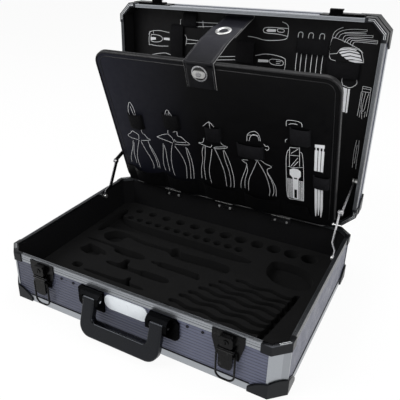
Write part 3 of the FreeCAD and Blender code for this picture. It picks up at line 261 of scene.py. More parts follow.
def swept(bm, path, side, profile):
    """A closed profile of (across, off) swept along a path; side is the across way."""
    side = Vector(side)
    rows = []
    for here, along in zip(path, directions(path)):
        off = along.cross(side).normalized()
        rows.append([here + side * (a * MM) + off * (o * MM) for a, o in profile])
    loft(bm, rows)


def printed_line(bm, points, width, lift, place):
    """A thin raised stroke along a run of points."""
    rows = []
    for i, (x, y) in enumerate(points):
        a, b = points[max(i - 1, 0)], points[min(i + 1, len(points) - 1)]
        along = Vector((b[0] - a[0], b[1] - a[1])).normalized()
        across = Vector((-along.y, along.x)) * (width / 2)
        rows.append([place(x + across.x * k, y + across.y * k, level)
                     for k, level in ((-1, 0), (-0.8, lift), (0.8, lift), (1, 0))])
    loft(bm, rows)


def tube(bm, path, radius, closed=False, sides=8):
    """A round tube along a path of places."""
    rows = []
    helper = Vector((0.31, 0.17, 0.93)).normalized()
    for here, along in zip(path, directions(path, closed)):
        u = along.cross(helper).normalized()
        v = along.cross(u)
        rows.append([here + (u * cos(t) + v * sin(t)) * radius * MM
                     for t in (tau * k / sides for k in range(sides))])
    loft(bm, rows, "joined" if closed else "capped")


def between(points, steps=8):
    """A smooth path through a few places."""
    path = []
    for i in range(len(points) - 1):
        a, b = points[max(i - 1, 0)], points[i]
        c, d = points[i + 1], points[min(i + 2, len(points) - 1)]
        for k in range(steps):
            t = k / steps
            path.append(0.5 * (2 * b + (c - a) * t + (2 * a - 5 * b + 4 * c - d) * t ** 2
                               + (3 * b - 3 * c + d - a) * t ** 3))
    return path + [points[-1]]


def in_scene(name, data):
    """A new object in the scene."""
    made = bpy.data.objects.new(name, data)
    bpy.context.scene.collection.objects.link(made)
    return made


def new_piece(name, bm, finish, body, smooth=40.0):
    """A named piece with its finish, which rides on a body."""
    bmesh.ops.recalc_face_normals(bm, faces=bm.faces)
    mesh = bpy.data.meshes.new(name)
    bm.to_mesh(mesh)
    bm.free()
    mesh.materials.append(finish)
    piece = in_scene(name, mesh)
    mesh.shade_smooth()
    mesh.set_sharp_from_angle(angle=radians(smooth))
    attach(piece, body)
    return piece


def even_shading(piece):
    """Keeps the shading of large flat faces flat beside small rounded edges."""
    piece.modifiers.new("even shading", "WEIGHTED_NORMAL").keep_sharp = True


# Finishes

# Where they change, in metres: side rails; painted light and shade towards the left or one end
SIDE_RAIL = 0.2325
SHELL_PAINTED_SHADE = (-0.24, 0.12)
BOARD_PAINTED_LIGHT = (-0.21, -0.03)
LOOP_PAINTED_SHADE = (-0.03, 0.06)
STRAP_PAINTED_LIGHT = (0.368, 0.398)
# Painted shadow along the rear of each rim, at the hinge: how y and z compare with its edge
REAR_SHADOWS = {"Z": ("GREATER_THAN", 0.1665, 0.0855), "Y": ("LESS_THAN", 0.1787, 0.0965)}
COOL_GLOSS = (0.84, 0.89, 1.0, 1.0)
WORN_STEEL = (0.12, 0.12, 0.12)


def scaled(colour, factor, tone=(1.0, 1.0, 1.0)):
    return tuple(min(1.0, c * factor * t) for c, t in zip(colour, tone))


class Nodes:
    """Makes and joins the nodes of one shader tree."""

    def __init__(self, tree):
        self.tree = tree
        self.places = self.node("TexCoord").outputs

    def node(self, kind, inputs=(), **settings):
        """A new node, each input of which is set to a value or joined to a socket."""
        made = self.tree.nodes.new(f"ShaderNode{kind}")
        for key, value in settings.items():
            setattr(made, key, value)
        for key, value in dict(inputs).items():
            if isinstance(value, bpy.types.NodeSocket):
                self.tree.links.new(value, made.inputs[key])
            else:
                made.inputs[key].default_value = value
        return made

    def sums(self, what, a, b=0.0):
        """One step of arithmetic on values or sockets."""
        return self.node("Math", {0: a, 1: b}, operation=what).outputs[0]

    def wave(self, value, length):
        """A sine along value, with its length in millimetres."""
        return self.sums("SINE", self.sums("MULTIPLY", value, tau / (length * MM)))

    def part(self, way, of=None):
        """X, Y or Z of a vector, or of the object's own coordinates."""
        return self.node("SeparateXYZ", {0: of or self.places["Object"]}).outputs[way]

    def choice(self, share, a, b):
        """From a, where share is 0, to b, where it is 1."""
        return self.node("Mix", {0: share, 2: a, 3: b}, data_type="FLOAT").outputs[0]

    def spread(self, value, low, high, to_low, to_high):
        """Runs from to_low to to_high as the value goes from low to high."""
        return self.node("MapRange", {
            "Value": value, "From Min": low, "From Max": high, "To Min": to_low,
            "To Max": to_high}).outputs["Result"]


class Finish(Nodes):
    """One material: its shader, and the textures that are fed into it."""

    def __init__(self, name, colour, rough, metal=0.0, **sockets):
        self.material = bpy.data.materials.new(name)
        self.material.use_nodes = True
        super().__init__(self.material.node_tree)
        self.shader = self.tree.nodes["Principled BSDF"]
        self.colour = colour
        self.heights = None
        sockets.update(Base_Color=(*colour, 1.0), Roughness=rough, Metallic=metal)
        for key, value in sockets.items():
            self.shader.inputs[key.replace("_", " ")].default_value = value

    def stretched(self, x, y, z):
        """The object's own coordinates, scaled along each way."""
        return self.node("Mapping", {"Vector": self.places["Object"],
                                     "Scale": (x, y, z)}).outputs["Vector"]

    def noise(self, scale, detail=2.0, roughness=0.5, where=None, output="Fac"):
        return self.node("TexNoise", {
            "Vector": where or self.places["Object"], "Scale": scale, "Detail": detail,
            "Roughness": roughness}).outputs[output]

    def cells(self, scale, where=None, feature="SMOOTH_F1"):
        return self.node("TexVoronoi", {
            "Vector": where or self.places["Object"], "Scale": scale},
            feature=feature).outputs["Distance"]

    def tint(self, share, other):
        """Mixes another colour into what the surface has so far."""
        socket = self.shader.inputs["Base Color"]
        so_far = socket.links[0].from_socket if socket.is_linked else (*self.colour, 1.0)
        mixed = self.node("Mix", {0: share, 6: so_far, 7: (*other, 1.0)},
                          data_type="RGBA")
        self.tree.links.new(mixed.outputs[2], socket)

    def shade(self, share, factor):
        """Mixes in the finish's own colour, scaled."""
        self.tint(share, scaled(self.colour, factor))

    def patches(self, value, low, high, share, factor):
        """Shades by up to share where a value rises from low to high."""
        self.shade(self.spread(value, low, high, 0.0, share), factor)

    def crevice_shade(self, reach, low, high, share, factor):
        """Paints shade on what lies within reach, in millimetres, of other surfaces."""
        free = self.node("AmbientOcclusion", {"Distance": reach * MM}, samples=8)
        self.shade(self.spread(free.outputs["AO"], low, high, share, 0.0), factor)

    def roughness(self, value, smooth, dull, low=0.3, high=0.7):
        """Runs from smooth to dull as the value goes from low to high."""
        self.tree.links.new(self.spread(value, low, high, smooth, dull),
                            self.shader.inputs["Roughness"])

    def bump(self, height, depth):
        """Raises the surface by a height of 0 to 1 times depth, in millimetres."""
        inputs = {"Distance": depth * MM, "Height": height}
        if self.heights:
            inputs["Normal"] = self.heights
        self.heights = self.node("Bump", inputs).outputs["Normal"]
        self.tree.links.new(self.heights, self.shader.inputs["Normal"])


def ribbed_panel(name, way, colour, pitch):
    """Painted aluminium sheet with fine rolled ribs, stacked along one way."""
    f = Finish(name, colour, 0.36, metal=0.3)
    ribs = f.sums("POWER", f.sums("ABSOLUTE", f.wave(f.part(way), 2 * pitch)), 0.55)
    f.bump(ribs, 0.55)
    # Painted shade in the grooves between the ribs
    f.shade(f.spread(ribs, 0.15, 0.75, 0.9, 0.0), 0.16)
    streaks = f.noise(9.0, 4.0, 0.6, f.stretched(1.0, 14.0 if way == "Z" else 1.0, 14.0))
    f.patches(streaks, 0.35, 0.75, 0.12, 1.5)
    # Painted shade towards the left, where less light falls
    f.shade(f.spread(f.part("X"), *SHELL_PAINTED_SHADE, 0.55, 0.0), 0.2)
    f.roughness(f.noise(60.0, 4.0), 0.32, 0.46)
    f.bump(f.noise(1400.0), 0.02)
    return f.material


def brushed_aluminium(name, colour, sides, lines="", left=1.0):
    """Anodised aluminium with brush marks along each rail and painted shade in its grooves.
    The side rails get painted shade by the factor sides, and the left ones by left as well.
    A rim is given the way its side runs don't go along: painted shade lines along each rail
    and painted shadow at the rear; the lid's also gets painted shade on its front faces."""
    f = Finish(name, colour, 0.3, metal=1.0)
    across = f.noise(60.0, 3.0, 0.6, f.stretched(0.5, 40.0, 40.0))
    along = f.noise(60.0, 3.0, 0.6, f.stretched(40.0, 0.5, 40.0))
    from_middle = f.sums("ABSOLUTE", f.part("X"))
    at_side = f.sums("GREATER_THAN", from_middle, SIDE_RAIL)
    marks = f.choice(at_side, across, along)
    f.roughness(marks, 0.24, 0.42, 0.25, 0.75)
    f.patches(marks, 0.35, 0.7, 0.25, 0.72)
    f.patches(f.noise(14.0, 3.0), 0.45, 0.75, 0.18, 0.8)
    # Painted shade on the side rails
    f.shade(at_side, sides)
    if lines == "Y":
        # Painted shade on the lid rim's faces to the front and back
        facing = f.sums("ABSOLUTE", f.part("Y", f.places["Normal"]))
        f.shade(f.sums("MULTIPLY", f.sums("GREATER_THAN", facing, 0.7),
                       f.sums("SUBTRACT", 1.0, at_side)), 0.5)
    if left < 1.0:
        # Painted shade on the left side rails, more than on the right
        f.shade(f.sums("LESS_THAN", f.part("X"), -SIDE_RAIL), sides * left)
    if lines:
        # Painted shade lines along each rail, standing in for fine grooves
        run = f.choice(at_side, f.sums("ADD", f.part("Y"), f.part("Z")),
                       f.sums("ADD", from_middle, f.part(lines)))
        f.patches(f.wave(run, 1.8), 0.5, 0.9, 0.72, 0.12)
        # Painted shadow along the rear of the rim
        test, rear, height = REAR_SHADOWS[lines]
        f.shade(f.sums("MULTIPLY", f.sums(test, f.part("Y"), rear),
                       f.sums(test, f.part("Z"), height)), 0.04)
    # Painted shade in grooves and corners
    f.crevice_shade(1.5, 0.5, 0.92, 0.92, 0.08)
    f.bump(marks, 0.03)
    return f.material


def moulded_plastic(name, colour, rough=0.36, gloss=0.35):
    """Injection-moulded plastic: fine even grain, with rubbed, lighter places."""
    f = Finish(name, colour, rough, Specular_IOR_Level=gloss, Specular_Tint=COOL_GLOSS)
    f.bump(f.cells(1500.0), 0.05)
    rubbed = f.noise(30.0, 5.0, 0.65)
    f.roughness(rubbed, rough - 0.08, rough + 0.12)
    f.patches(rubbed, 0.52, 0.8, 0.35, 2.2)
    return f.material


def lining_board(name, colour):
    """Dark paper-backed lining with a fine pebble."""
    f = Finish(name, colour, 0.8, Specular_IOR_Level=0.12)
    f.bump(f.cells(700.0), 0.12)
    f.patches(f.noise(24.0, 4.0), 0.4, 0.75, 0.4, 1.5)
    f.roughness(f.noise(300.0), 0.7, 0.9)
    return f.material


def cut_foam(name, colour):
    """Closed-cell foam, matt, with fine open cells on its skin."""
    f = Finish(name, colour, 0.95, Specular_IOR_Level=0.06, Sheen_Weight=0.02,
               Sheen_Roughness=0.6)
    cells = f.cells(1300.0, feature="F1")
    f.bump(cells, 0.16)
    f.bump(f.noise(90.0, 4.0), 0.35)
    # Painted shade in the open cells
    f.shade(f.spread(cells, 0.0, 0.35, 0.35, 0.0), 0.4)
    f.patches(f.noise(45.0, 5.0, 0.6), 0.4, 0.75, 0.45, 1.45)
    f.roughness(f.noise(200.0, 3.0), 0.85, 1.0)
    return f.material


def grained_vinyl(name, colour, rough, gloss=0.14, left=None):
    """Leather-look vinyl with a pebbled grain and soft creases, and maybe painted light
    that comes in towards its left edge."""
    f = Finish(name, colour, rough, Specular_IOR_Level=gloss)
    lean = f.node("Mix", {0: 0.006, 6: f.places["Object"],
                          7: f.noise(180.0, output="Color")}, data_type="RGBA")
    cells = f.cells(560.0, lean.outputs[2])
    f.bump(cells, 0.14)
    f.bump(f.noise(26.0), 0.9)
    f.patches(cells, 0.25, 0.7, 0.45, 0.55)
    f.patches(f.noise(18.0, 5.0, 0.6), 0.42, 0.75, 0.35, 1.7)
    if left:
        # Painted light towards the left edge
        f.tint(f.spread(f.part("X"), *BOARD_PAINTED_LIGHT, 0.6, 0.0), left)
    f.roughness(f.noise(110.0, 3.0), rough - 0.07, rough + 0.1)
    return f.material


def woven_elastic(name, colour, way, shaded=False):
    """Elastic webbing: fine cords along it and a cross weave."""
    f = Finish(name, colour, 0.75, Specular_IOR_Level=0.07)
    cords = f.wave(f.part(way), 1.3)
    picks = f.wave(f.part("X" if way != "X" else "Z"), 0.8)
    for threads, depth in ((cords, 0.25), (picks, 0.1)):
        f.bump(f.spread(threads, -1.0, 1.0, 0.0, 1.0), depth)
    # Painted shade between the cords
    f.shade(f.spread(cords, -1.0, 0.3, 0.6, 0.0), 0.4)
    f.patches(f.noise(90.0, 3.0), 0.45, 0.7, 0.3, 1.6)
    if shaded:
        # Painted shade towards the left
        f.shade(f.spread(f.part("X"), *LOOP_PAINTED_SHADE, 0.85, 0.0), 0.25)
    f.roughness(f.noise(400.0), 0.65, 0.85)
    return f.material


def strap_vinyl_with_painted_light(name, colour):
    """The strap's vinyl, with painted light, paler where it runs over to the lid."""
    f = Finish(name, colour, 0.36, Specular_IOR_Level=0.14)
    f.bump(f.cells(700.0), 0.1)
    f.bump(f.noise(22.0), 1.2)
    # Painted light on the part that runs over to the lid
    f.tint(f.spread(f.part("Z"), *STRAP_PAINTED_LIGHT, 0.0, 1.0), (0.02, 0.02, 0.026))
    f.tint(f.spread(f.noise(18.0, 5.0, 0.6), 0.42, 0.75, 0.0, 0.3), (0.026, 0.026, 0.03))
    f.roughness(f.noise(110.0, 3.0), 0.28, 0.46)
    return f.material


def plated_steel(name, colour, rough, crevice_shade=0.85):
    """Nickel plate with faint polishing marks and a few dull spots."""
    f = Finish(name, colour, rough, metal=1.0)
    marks = f.noise(220.0, 3.0, 0.6, f.stretched(1.0, 1.0, 6.0))
    f.roughness(marks, rough - 0.05, rough + 0.1, high=0.75)
    f.patches(f.noise(60.0, 3.0), 0.5, 0.8, 0.2, 0.6)
    # Painted shade in the crevices
    f.crevice_shade(2.0, 0.45, 0.85, crevice_shade, 0.1)
    f.bump(marks, 0.01)
    return f.material


def coated_steel(name, colour, gloss=0.2):
    """Black powder-coated steel, worn a little brighter on its high places."""
    f = Finish(name, colour, 0.26, metal=2.0 * gloss, Specular_IOR_Level=gloss)
    f.bump(f.noise(1100.0), 0.03)
    worn = f.noise(160.0, 6.0, 0.7)
    f.tint(f.spread(worn, 0.62, 0.74, 0.0, 0.5), WORN_STEEL)
    f.roughness(worn, 0.2, 0.36)
    return f.material


def label_enamel(name, colour):
    """A smooth white plate with a clear coat and light handling marks."""
    f = Finish(name, colour, 0.3, Coat_Weight=0.4, Coat_Roughness=0.08)
    f.patches(f.noise(55.0, 4.0), 0.45, 0.8, 0.25, 0.82)
    f.roughness(f.noise(160.0, 3.0), 0.25, 0.38)
    f.bump(f.noise(80.0, 1.0), 0.03)
    return f.material


def screen_ink(name, colour):
    """Pale printing ink, laid thin over the grain of the vinyl."""
    f = Finish(name, colour, 0.6, Specular_IOR_Level=0.3)
    f.patches(f.noise(350.0, 4.0, 0.7), 0.5, 0.8, 0.35, 0.6)
    f.roughness(f.noise(300.0), 0.5, 0.7)
    f.bump(f.cells(560.0), 0.1)
    return f.material


def dress(finish, *nodes):
    """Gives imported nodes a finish."""
    for name in nodes:
        for slot in NODES[name].material_slots:
            slot.material = finish


def ease_edges(width, *nodes):
    """A small bevel on hard edges, so that they catch the light."""
    for name in nodes:
        bevel = NODES[name].modifiers.new("eased edges", "BEVEL")
        bevel.width = width * MM
        bevel.segments = 2
        bevel.limit_method = "ANGLE"
        bevel.angle_limit = radians(42)
        bevel.harden_normals = True
        NODES[name].data.shade_smooth()
        NODES[name].data.set_sharp_from_angle(angle=radians(35))


def colour_property(name, description, default):
    return FloatVectorProperty(name=name, description=f"Colour of the {description}",
                               subtype="COLOR", size=3, min=0.0, max=1.0, default=default)


def length_property(name, description, default, low, high):
    return FloatProperty(name=name, description=f"{description}, in mm", default=default,
                         min=low, max=high)


class ToolCaseColours(bpy.types.PropertyGroup):
    """Colours of the case."""
    shell: colour_property("Shell", "painted panels", SLOT_COLOURS["shell_panel"])
    frame: colour_property("Frame", "aluminium rails", SLOT_COLOURS["frame_aluminium"])
    plastic: colour_property("Plastic", "corners and handle", SLOT_COLOURS["black_plastic"])
    lining: colour_property("Lining", "inside walls", SLOT_COLOURS["dark_lining"])
    foam: colour_property("Foam", "foam layers", (0.0062, 0.0062, 0.0064))
    vinyl: colour_property("Vinyl", "board and lid panel", (0.0058, 0.0058, 0.0066))
    ink: colour_property("Ink", "printed outlines", (0.74, 0.75, 0.77))


class ToolCaseSizes(bpy.types.PropertyGroup):
    """Sizes that a user may change."""
    rib_pitch: length_property("Rib pitch", "Distance between panel ribs", 5.25, 1.0, 12.0)
    foam_edge: length_property("Foam edge", "Rounding of the recesses", 1.3, 0.2, 2.5)
    ink_width: length_property("Ink width", "Width of a printed line", 0.74, 0.3, 3.0)
    stitch: length_property("Stitch", "Length of one stitch", 2.6, 1.0, 6.0)


class PieceOperator:
    """What the operators of the case share."""
    bl_options = {"REGISTER", "UNDO"}

    @property
    def sizes(self):
        return bpy.context.scene.tool_case_sizes

    @property
    def colours(self):
        return bpy.context.scene.tool_case_colours


# Painted shadow strip under the lowest rib: points along each side, height, width and relief
SHADOW_FRONT = (-194, -60, 60, 194)
SHADOW_SIDE = (-128, -40, 40, 128)
SHADOW_HEIGHT, SHADOW_WIDE, SHADOW_LIFT, SHADOW_SUNK = 12.6, 2.2, 0.2, 1.0


class TOOLCASE_OT_shell(PieceOperator, bpy.types.Operator):
    """Paint the panels and brush the aluminium frame"""
    bl_idname = "toolcase.shell"
    bl_label = "Panels and Frame"

    def execute(self, context):
        paint = scaled(self.colours.shell, 0.56, (0.95, 0.94, 1.1))
        pitch = self.sizes.rib_pitch
        dress(ribbed_panel("ribbed panel, upright", "Z", paint, pitch), "base_front_wall",
              "base_back_wall", "base_side_walls", "lid_top_panel")
        dress(ribbed_panel("ribbed panel, level", "Y", paint, pitch), "lid_front_wall",
              "lid_back_wall", "lid_side_walls", "base_floor")
        metal = scaled(self.colours.frame, 1.0, (0.94, 0.96, 1.0))
        # Darker and lighter copies of one aluminium for base and lid: painted shade and light
        for half, share, side, lines, left in (("base", 0.6, 0.33, "Z", 1.0),
                                               ("lid", 1.2, 0.29, "Y", 0.3)):
            dress(brushed_aluminium(f"brushed rails, {half}", scaled(metal, share), side,
                                    lines, left), f"{half}_rim")
            dress(brushed_aluminium(f"brushed edges, {half}", scaled(metal, min(share, 0.9)),
                                    0.8, left=left),
                  f"{half}_corner_posts", f"{half}_outer_edge")
            ease_edges(0.3, f"{half}_rim", f"{half}_outer_edge")
        dress(lining_board("pebbled lining", tuple(self.colours.lining)),
              "base_lining", "lid_lining")
        # Painted shadow: a dark strip along the foot of the panels
        shadow = bmesh.new()
        for side in (-1, 1):
            printed_line(shadow, [(x, SHADOW_HEIGHT) for x in SHADOW_FRONT], SHADOW_WIDE, SHADOW_LIFT,
                         lambda x, z, out: flat(x, side * (HALF[1] - SHADOW_SUNK + out), z))
            printed_line(shadow, [(y, SHADOW_HEIGHT) for y in SHADOW_SIDE], SHADOW_WIDE, SHADOW_LIFT,
                         lambda y, z, out: flat(side * (HALF[0] - SHADOW_SUNK + out), y, z))
        new_piece("panel_foot_shadow", shadow, lining_board("painted foot shadow", (0.01, 0.01, 0.012)),
                  "base")
        return {"FINISHED"}


def corner_run(inset, reach):
    """The plan's outline round one cut corner, drawn in by inset, in the first quarter,
    with a straight end of length reach along each side."""
    cut = inset * (sqrt(2) - 1)
    low_x = CORNER_SUM - HALF[1]
    low_y = CORNER_SUM - HALF[0]
    run = [(low_x - cut, HALF[1] - inset), (HALF[0] - inset, low_y - cut)]
    if reach:
        run = [(low_x - reach, HALF[1] - inset), *run, (HALF[0] - inset, low_y - reach)]
    return run


# The caps' plates and stripes, thin enough to clear each other with the lid closed
CAP_INSETS, CAP_REACH = (-1.4, 6.0), 14.0
CAP_LOW, CAP_TOP, CAP_EDGE = 0.02, 0.1, 0.04
STRIPE_INSETS, STRIPE_WIDE, STRIPE_LIFT = (0.9, 3.2), 0.9, 0.06
STRIPE_START = 0.4


class TOOLCASE_OT_caps(PieceOperator, bpy.types.Operator):
    """Lay the plastic caps over the rims at the corners"""
    bl_idname = "toolcase.caps"
    bl_label = "Corner Caps"

    def execute(self, context):
        plastic = moulded_plastic("cap plastic", scaled(self.colours.plastic, 0.5), 0.3)
        bright = brushed_aluminium("cap stripes", tuple(self.colours.frame), 1.0)
        outer, inner = (corner_run(inset, CAP_REACH) for inset in CAP_INSETS)
        for body, place, reach in (("base", on_base_rim, 0.0), ("lid", on_lid_rim, 9.0)):
            tops, stripes = bmesh.new(), bmesh.new()
            for side, end in ((-1, -1), (-1, 1), (1, -1), (1, 1)):
                cut_sheet(tops, outer + inner[::-1], [], CAP_LOW, CAP_TOP, CAP_EDGE,
                          lambda x, y, level: place(side * x, end * y, level), steps=2)
                # The inner stripe is aluminium, the outer a painted highlight
                for inset in STRIPE_INSETS:
                    run = corner_run(inset, reach)
                    if not reach:
                        run[0] = tuple(a + (b - a) * STRIPE_START for a, b in zip(*run))
                    printed_line(stripes, run, STRIPE_WIDE, STRIPE_LIFT, lambda x, y, out:
                                 place(side * x, end * y, CAP_TOP + out))
            new_piece(f"{body}_cap_tops", tops, plastic, body)
            new_piece(f"{body}_cap_stripes", stripes, bright, body)
        return {"FINISHED"}


# Painted highlights on the board hinges in the base: middles, runs along each, and y and z
HINGE_MIDDLES = (-117.5, -2.5, 112.5)
HINGE_RUNS = ((-18.0, -8.6), (-7.4, 7.4), (8.6, 18.0))
HINGE_LINE, HINGE_RADIUS = (163.9, 83.4), 1.1
# A dark ring of painted shadow round the turn lock: height on the board, radii and levels
LOCK_HEIGHT, LOCK_RADII, LOCK_LEVELS = 287.5, (11.6, 7.3), (3.55, 3.75)
# The plates of the lid's catches: middle, half width, y and z
CATCH_MIDDLE, CATCH_HALF, CATCH_Y, CATCH_LEVELS = 176.5, 27, (181.0, 203.0), (437.7, 442.4)


class TOOLCASE_OT_fittings(PieceOperator, bpy.types.Operator):
    """Finish corners, handle, latches, hinges, stays, rivets and the label plate"""
    bl_idname = "toolcase.fittings"
    bl_label = "Corners, Handle and Fittings"

    def mould(self):
        """The plastic parts."""
        black = scaled(self.colours.plastic, 1.0, (0.95, 0.97, 1.12))
        corners = [f"{half}_{part}" for half in ("base", "lid")
                   for part in ("rim_caps", "corner_guards")]
        dress(moulded_plastic("corner plastic", scaled(black, 0.57), gloss=0.2), *corners)
        dress(moulded_plastic("handle plastic", scaled(black, 0.35), 0.22, 0.27),
              "handle_grip")
        dress(moulded_plastic("bracket plastic", scaled(black, 0.12), 0.24, 0.02),
              "handle_brackets")
        ease_edges(0.6, *corners, "handle_brackets")

    def plate(self):
        """The plated parts, with painted highlights on the board's hinges."""
        dress(plated_steel("plated steel", SLOT_COLOURS["bright_steel"], 0.26),
              "lid_hinge_base_leaves", "lid_hinge_lid_leaves", "lid_hinge_pins",
              "board_hinge_pins", "strap_lock_post", "right_lower_stay",
              "right_upper_stay", "handle_pins", "latch_pins")
        # A lighter copy of the plating, for painted highlights on rivets and pivots
        bright = plated_steel("bright plate", (0.92, 0.92, 0.9), 0.42, 0.2)
        dress(bright, "hinge_rivets", "base_stay_pivots", "lid_stay_pivots")
        dress(plated_steel("knob plate", (0.7, 0.7, 0.69), 0.4, 0.5), "turnlock_knob")
        # The left stays get a darker copy of the plating: painted shade
        dress(plated_steel("shaded plate", (0.2, 0.2, 0.21), 0.24),
              "left_lower_stay", "left_upper_stay")
        dress(plated_steel("hinge nickel", (0.34, 0.34, 0.36), 0.2),
              "board_hinge_wall_leaves", "board_hinge_board_leaves")
        # Bright rods along the hinges' wall leaves as painted highlights
        glints = bmesh.new()
        for middle in HINGE_MIDDLES:
            for run in HINGE_RUNS:
                tube(glints, [flat(middle + x, *HINGE_LINE) for x in run], HINGE_RADIUS)
        new_piece("board_hinge_glints", glints, bright, "base")
        # Painted shadow round the turn lock
        ring = bmesh.new()
        outer, inner = LOCK_RADII
        cut_sheet(ring, circle(STRAP_X, LOCK_HEIGHT, outer, 40),
                  [circle(STRAP_X, LOCK_HEIGHT, inner, 32)], *LOCK_LEVELS, 0.08, on_board,
                  steps=1)
        new_piece("lock_shadow_ring", ring, plated_steel("lock shadow", (0.05, 0.05, 0.05), 0.3),
                  "board")
        ease_edges(0.2, "board_hinge_wall_leaves", "turnlock_knob")

    def coat(self):
        """The black parts, with the plates of the lid's catches."""
        colour = SLOT_COLOURS["black_metal"]
        coated = coated_steel("black coated steel", scaled(colour, 0.27, (1.0, 1.0, 1.15)))
        catch = coated_steel("lid catch steel", scaled(colour, 0.081), 0.02)
        plates = bmesh.new()
        for middle in (-CATCH_MIDDLE, CATCH_MIDDLE):
            cut_sheet(plates, rounded_box(middle - CATCH_HALF, middle + CATCH_HALF, *CATCH_Y,
                                          6.0), [], *CATCH_LEVELS, 1.6, flat)
        new_piece("lid_catch_plates", plates, catch, "lid")
        dress(catch, "lid_catches")
        dress(coated, "latch_plates", "right_lever", "left_lever", "right_bail", "left_bail",
              "right_lock_cylinder", "left_lock_cylinder")
        dress(coated_steel("rivet steel", (0.01, 0.01, 0.014), 0.1), "front_rivets")
        ease_edges(0.25, "latch_plates", "right_lever", "left_lever", "lid_catches")

    def execute(self, context):
        self.mould()
        self.plate()
        self.coat()
        dress(label_enamel("white label enamel", SLOT_COLOURS["label_white"]), "label_plate")
        ease_edges(0.3, "label_plate")
        return {"FINISHED"}


# The foam: a plain bed under the inlay, with cut corners. Its sockets are x, y and radius
FOAM_LEVELS = (4.0, 10.0, 28.0)
FOAM_HALF = (233.7, 168.2)
FOAM_CUT = (217.3, 151.8)
BED_EDGE = 1.5
SOCKETS = (tuple((-185 + 33.3 * k, 140 - 0.27 * k, 8.0 + 0.58 * k) for k in range(12))
           + tuple((-185 + 22.1 * k, 107 - 0.27 * k, 6.6 + 0.15 * k) for k in range(12)))
RECESSES = {
    "long bar": (-221, 131, -221, 32, -204, 32, -204, 60, 94, 60, 94, 89, -203, 89, -203, 131),
    "ratchet": (-149, 17, -155, 9.4, -171, 8.7, -188, 15.9, -193.6, 26, -188, 38.4,
        -178.5, 48.5, -160, 50, -147, 48.5, -127, 42.8, -95.7, 39.8, -52, 40.5, -49, 42.3,
        -46, 48, -41, 51, -34, 47, -31, 41, 8, 44.4, 50, 46, 68.6, 42.3, 73.7, 31, 70, 18.6,
        41, 19.2, 2, 18.1, -24, 17.7, -38.6, 20.8, -50, 29.7, -68, 31, -100, 29, -128, 33.7,
        -140, 38, -146, 36, -149, 30),
    "driver": (-213, 2, -213, -4, -142, -4, -141, -19, -76, -19, -76, 0, -139, 1, -141, 2),
    "swivel": (-204, -40, -182, -47, -167, -46, -155, -43, -158, -33, -144, -37, -147, -27,
        -165, -21, -176, -19, -196, -14, -196, -27),
    "hammer": (-131, -46, -131, -56, -60, -56, -58, -58, -3, -58, -3, -41, -60, -41, -62, -46,
        -93, -46, -93, -26, -105, -26, -105, -46),
    "hook bar": (-61, -8, -61, -15, -46, -15, -44, -19, 30, -19, 36, -22, 40, -14, 32, -8,
        30, -3, -45, -3, -47, -8),
    "tee driver": (-151, -85, -151, -93, -28, -93, -28, -85, -62, -85, -62, -70, -70, -70,
        -70, -85),
    "small block": (-180, -76, -180, -91, -160, -91, -160, -76),
    "tape": (125, 93, 132, 101, 142, 103, 175, 104, 203, 86, 211, 58, 201, 36, 180, 33,
        153, 37, 134, 49, 126, 65),
    "front left": (-213, -105, -213, -122, -118, -122, -118, -105),
    "front middle": (-104, -108, -104, -150, -84, -150, -84, -122, -6, -122, -6, -108),
}
# The left ends of the wrenches' grooves, and the ends of the channel they run into
WRENCHES = ((92, 11), (68, -6), (58, -22), (47, -38), (37, -56), (28, -71), (20, -90),
            (8, -107))
CHANNEL_TOP, CHANNEL_FOOT, CHANNEL_HALF = (198, 22), (178, -116), 5
GROOVE_HALF, GROOVE_STEP, GROOVE_SLOPE = 4.2, 5, 0.02
WAVE_HEIGHT, WAVE_LENGTH = 2.6, 50


def wrench_rack():
    """One comb of wavy grooves that run into a channel at the right."""
    (top_x, top_y), (low_x, low_y) = CHANNEL_TOP, CHANNEL_FOOT
    outline = [(top_x + CHANNEL_HALF, top_y), (top_x - CHANNEL_HALF, top_y)]
    for x0, y0 in WRENCHES:
        end = low_x + (top_x - low_x) * (y0 - low_y) / (top_y - low_y) - CHANNEL_HALF
        count = max(8, int((end - x0) / GROOVE_STEP))
        middle = []
        for k in range(count + 1):
            x = end + (x0 + GROOVE_HALF - end) * k / count
            middle.append((x, y0 + WAVE_HEIGHT * sin((x - x0) / WAVE_LENGTH * tau)
                           - GROOVE_SLOPE * (x - x0)))
        tip_x, tip_y = middle[-1]
        outline += [(x, y + GROOVE_HALF) for x, y in middle]
        outline += [(tip_x - GROOVE_HALF * sin(t), tip_y + GROOVE_HALF * cos(t))
                    for t in (pi * j / 6 for j in range(1, 6))]
        outline += [(x, y - GROOVE_HALF) for x, y in middle[::-1]]
    return outline + [(low_x - CHANNEL_HALF, low_y), (low_x + CHANNEL_HALF, low_y)]


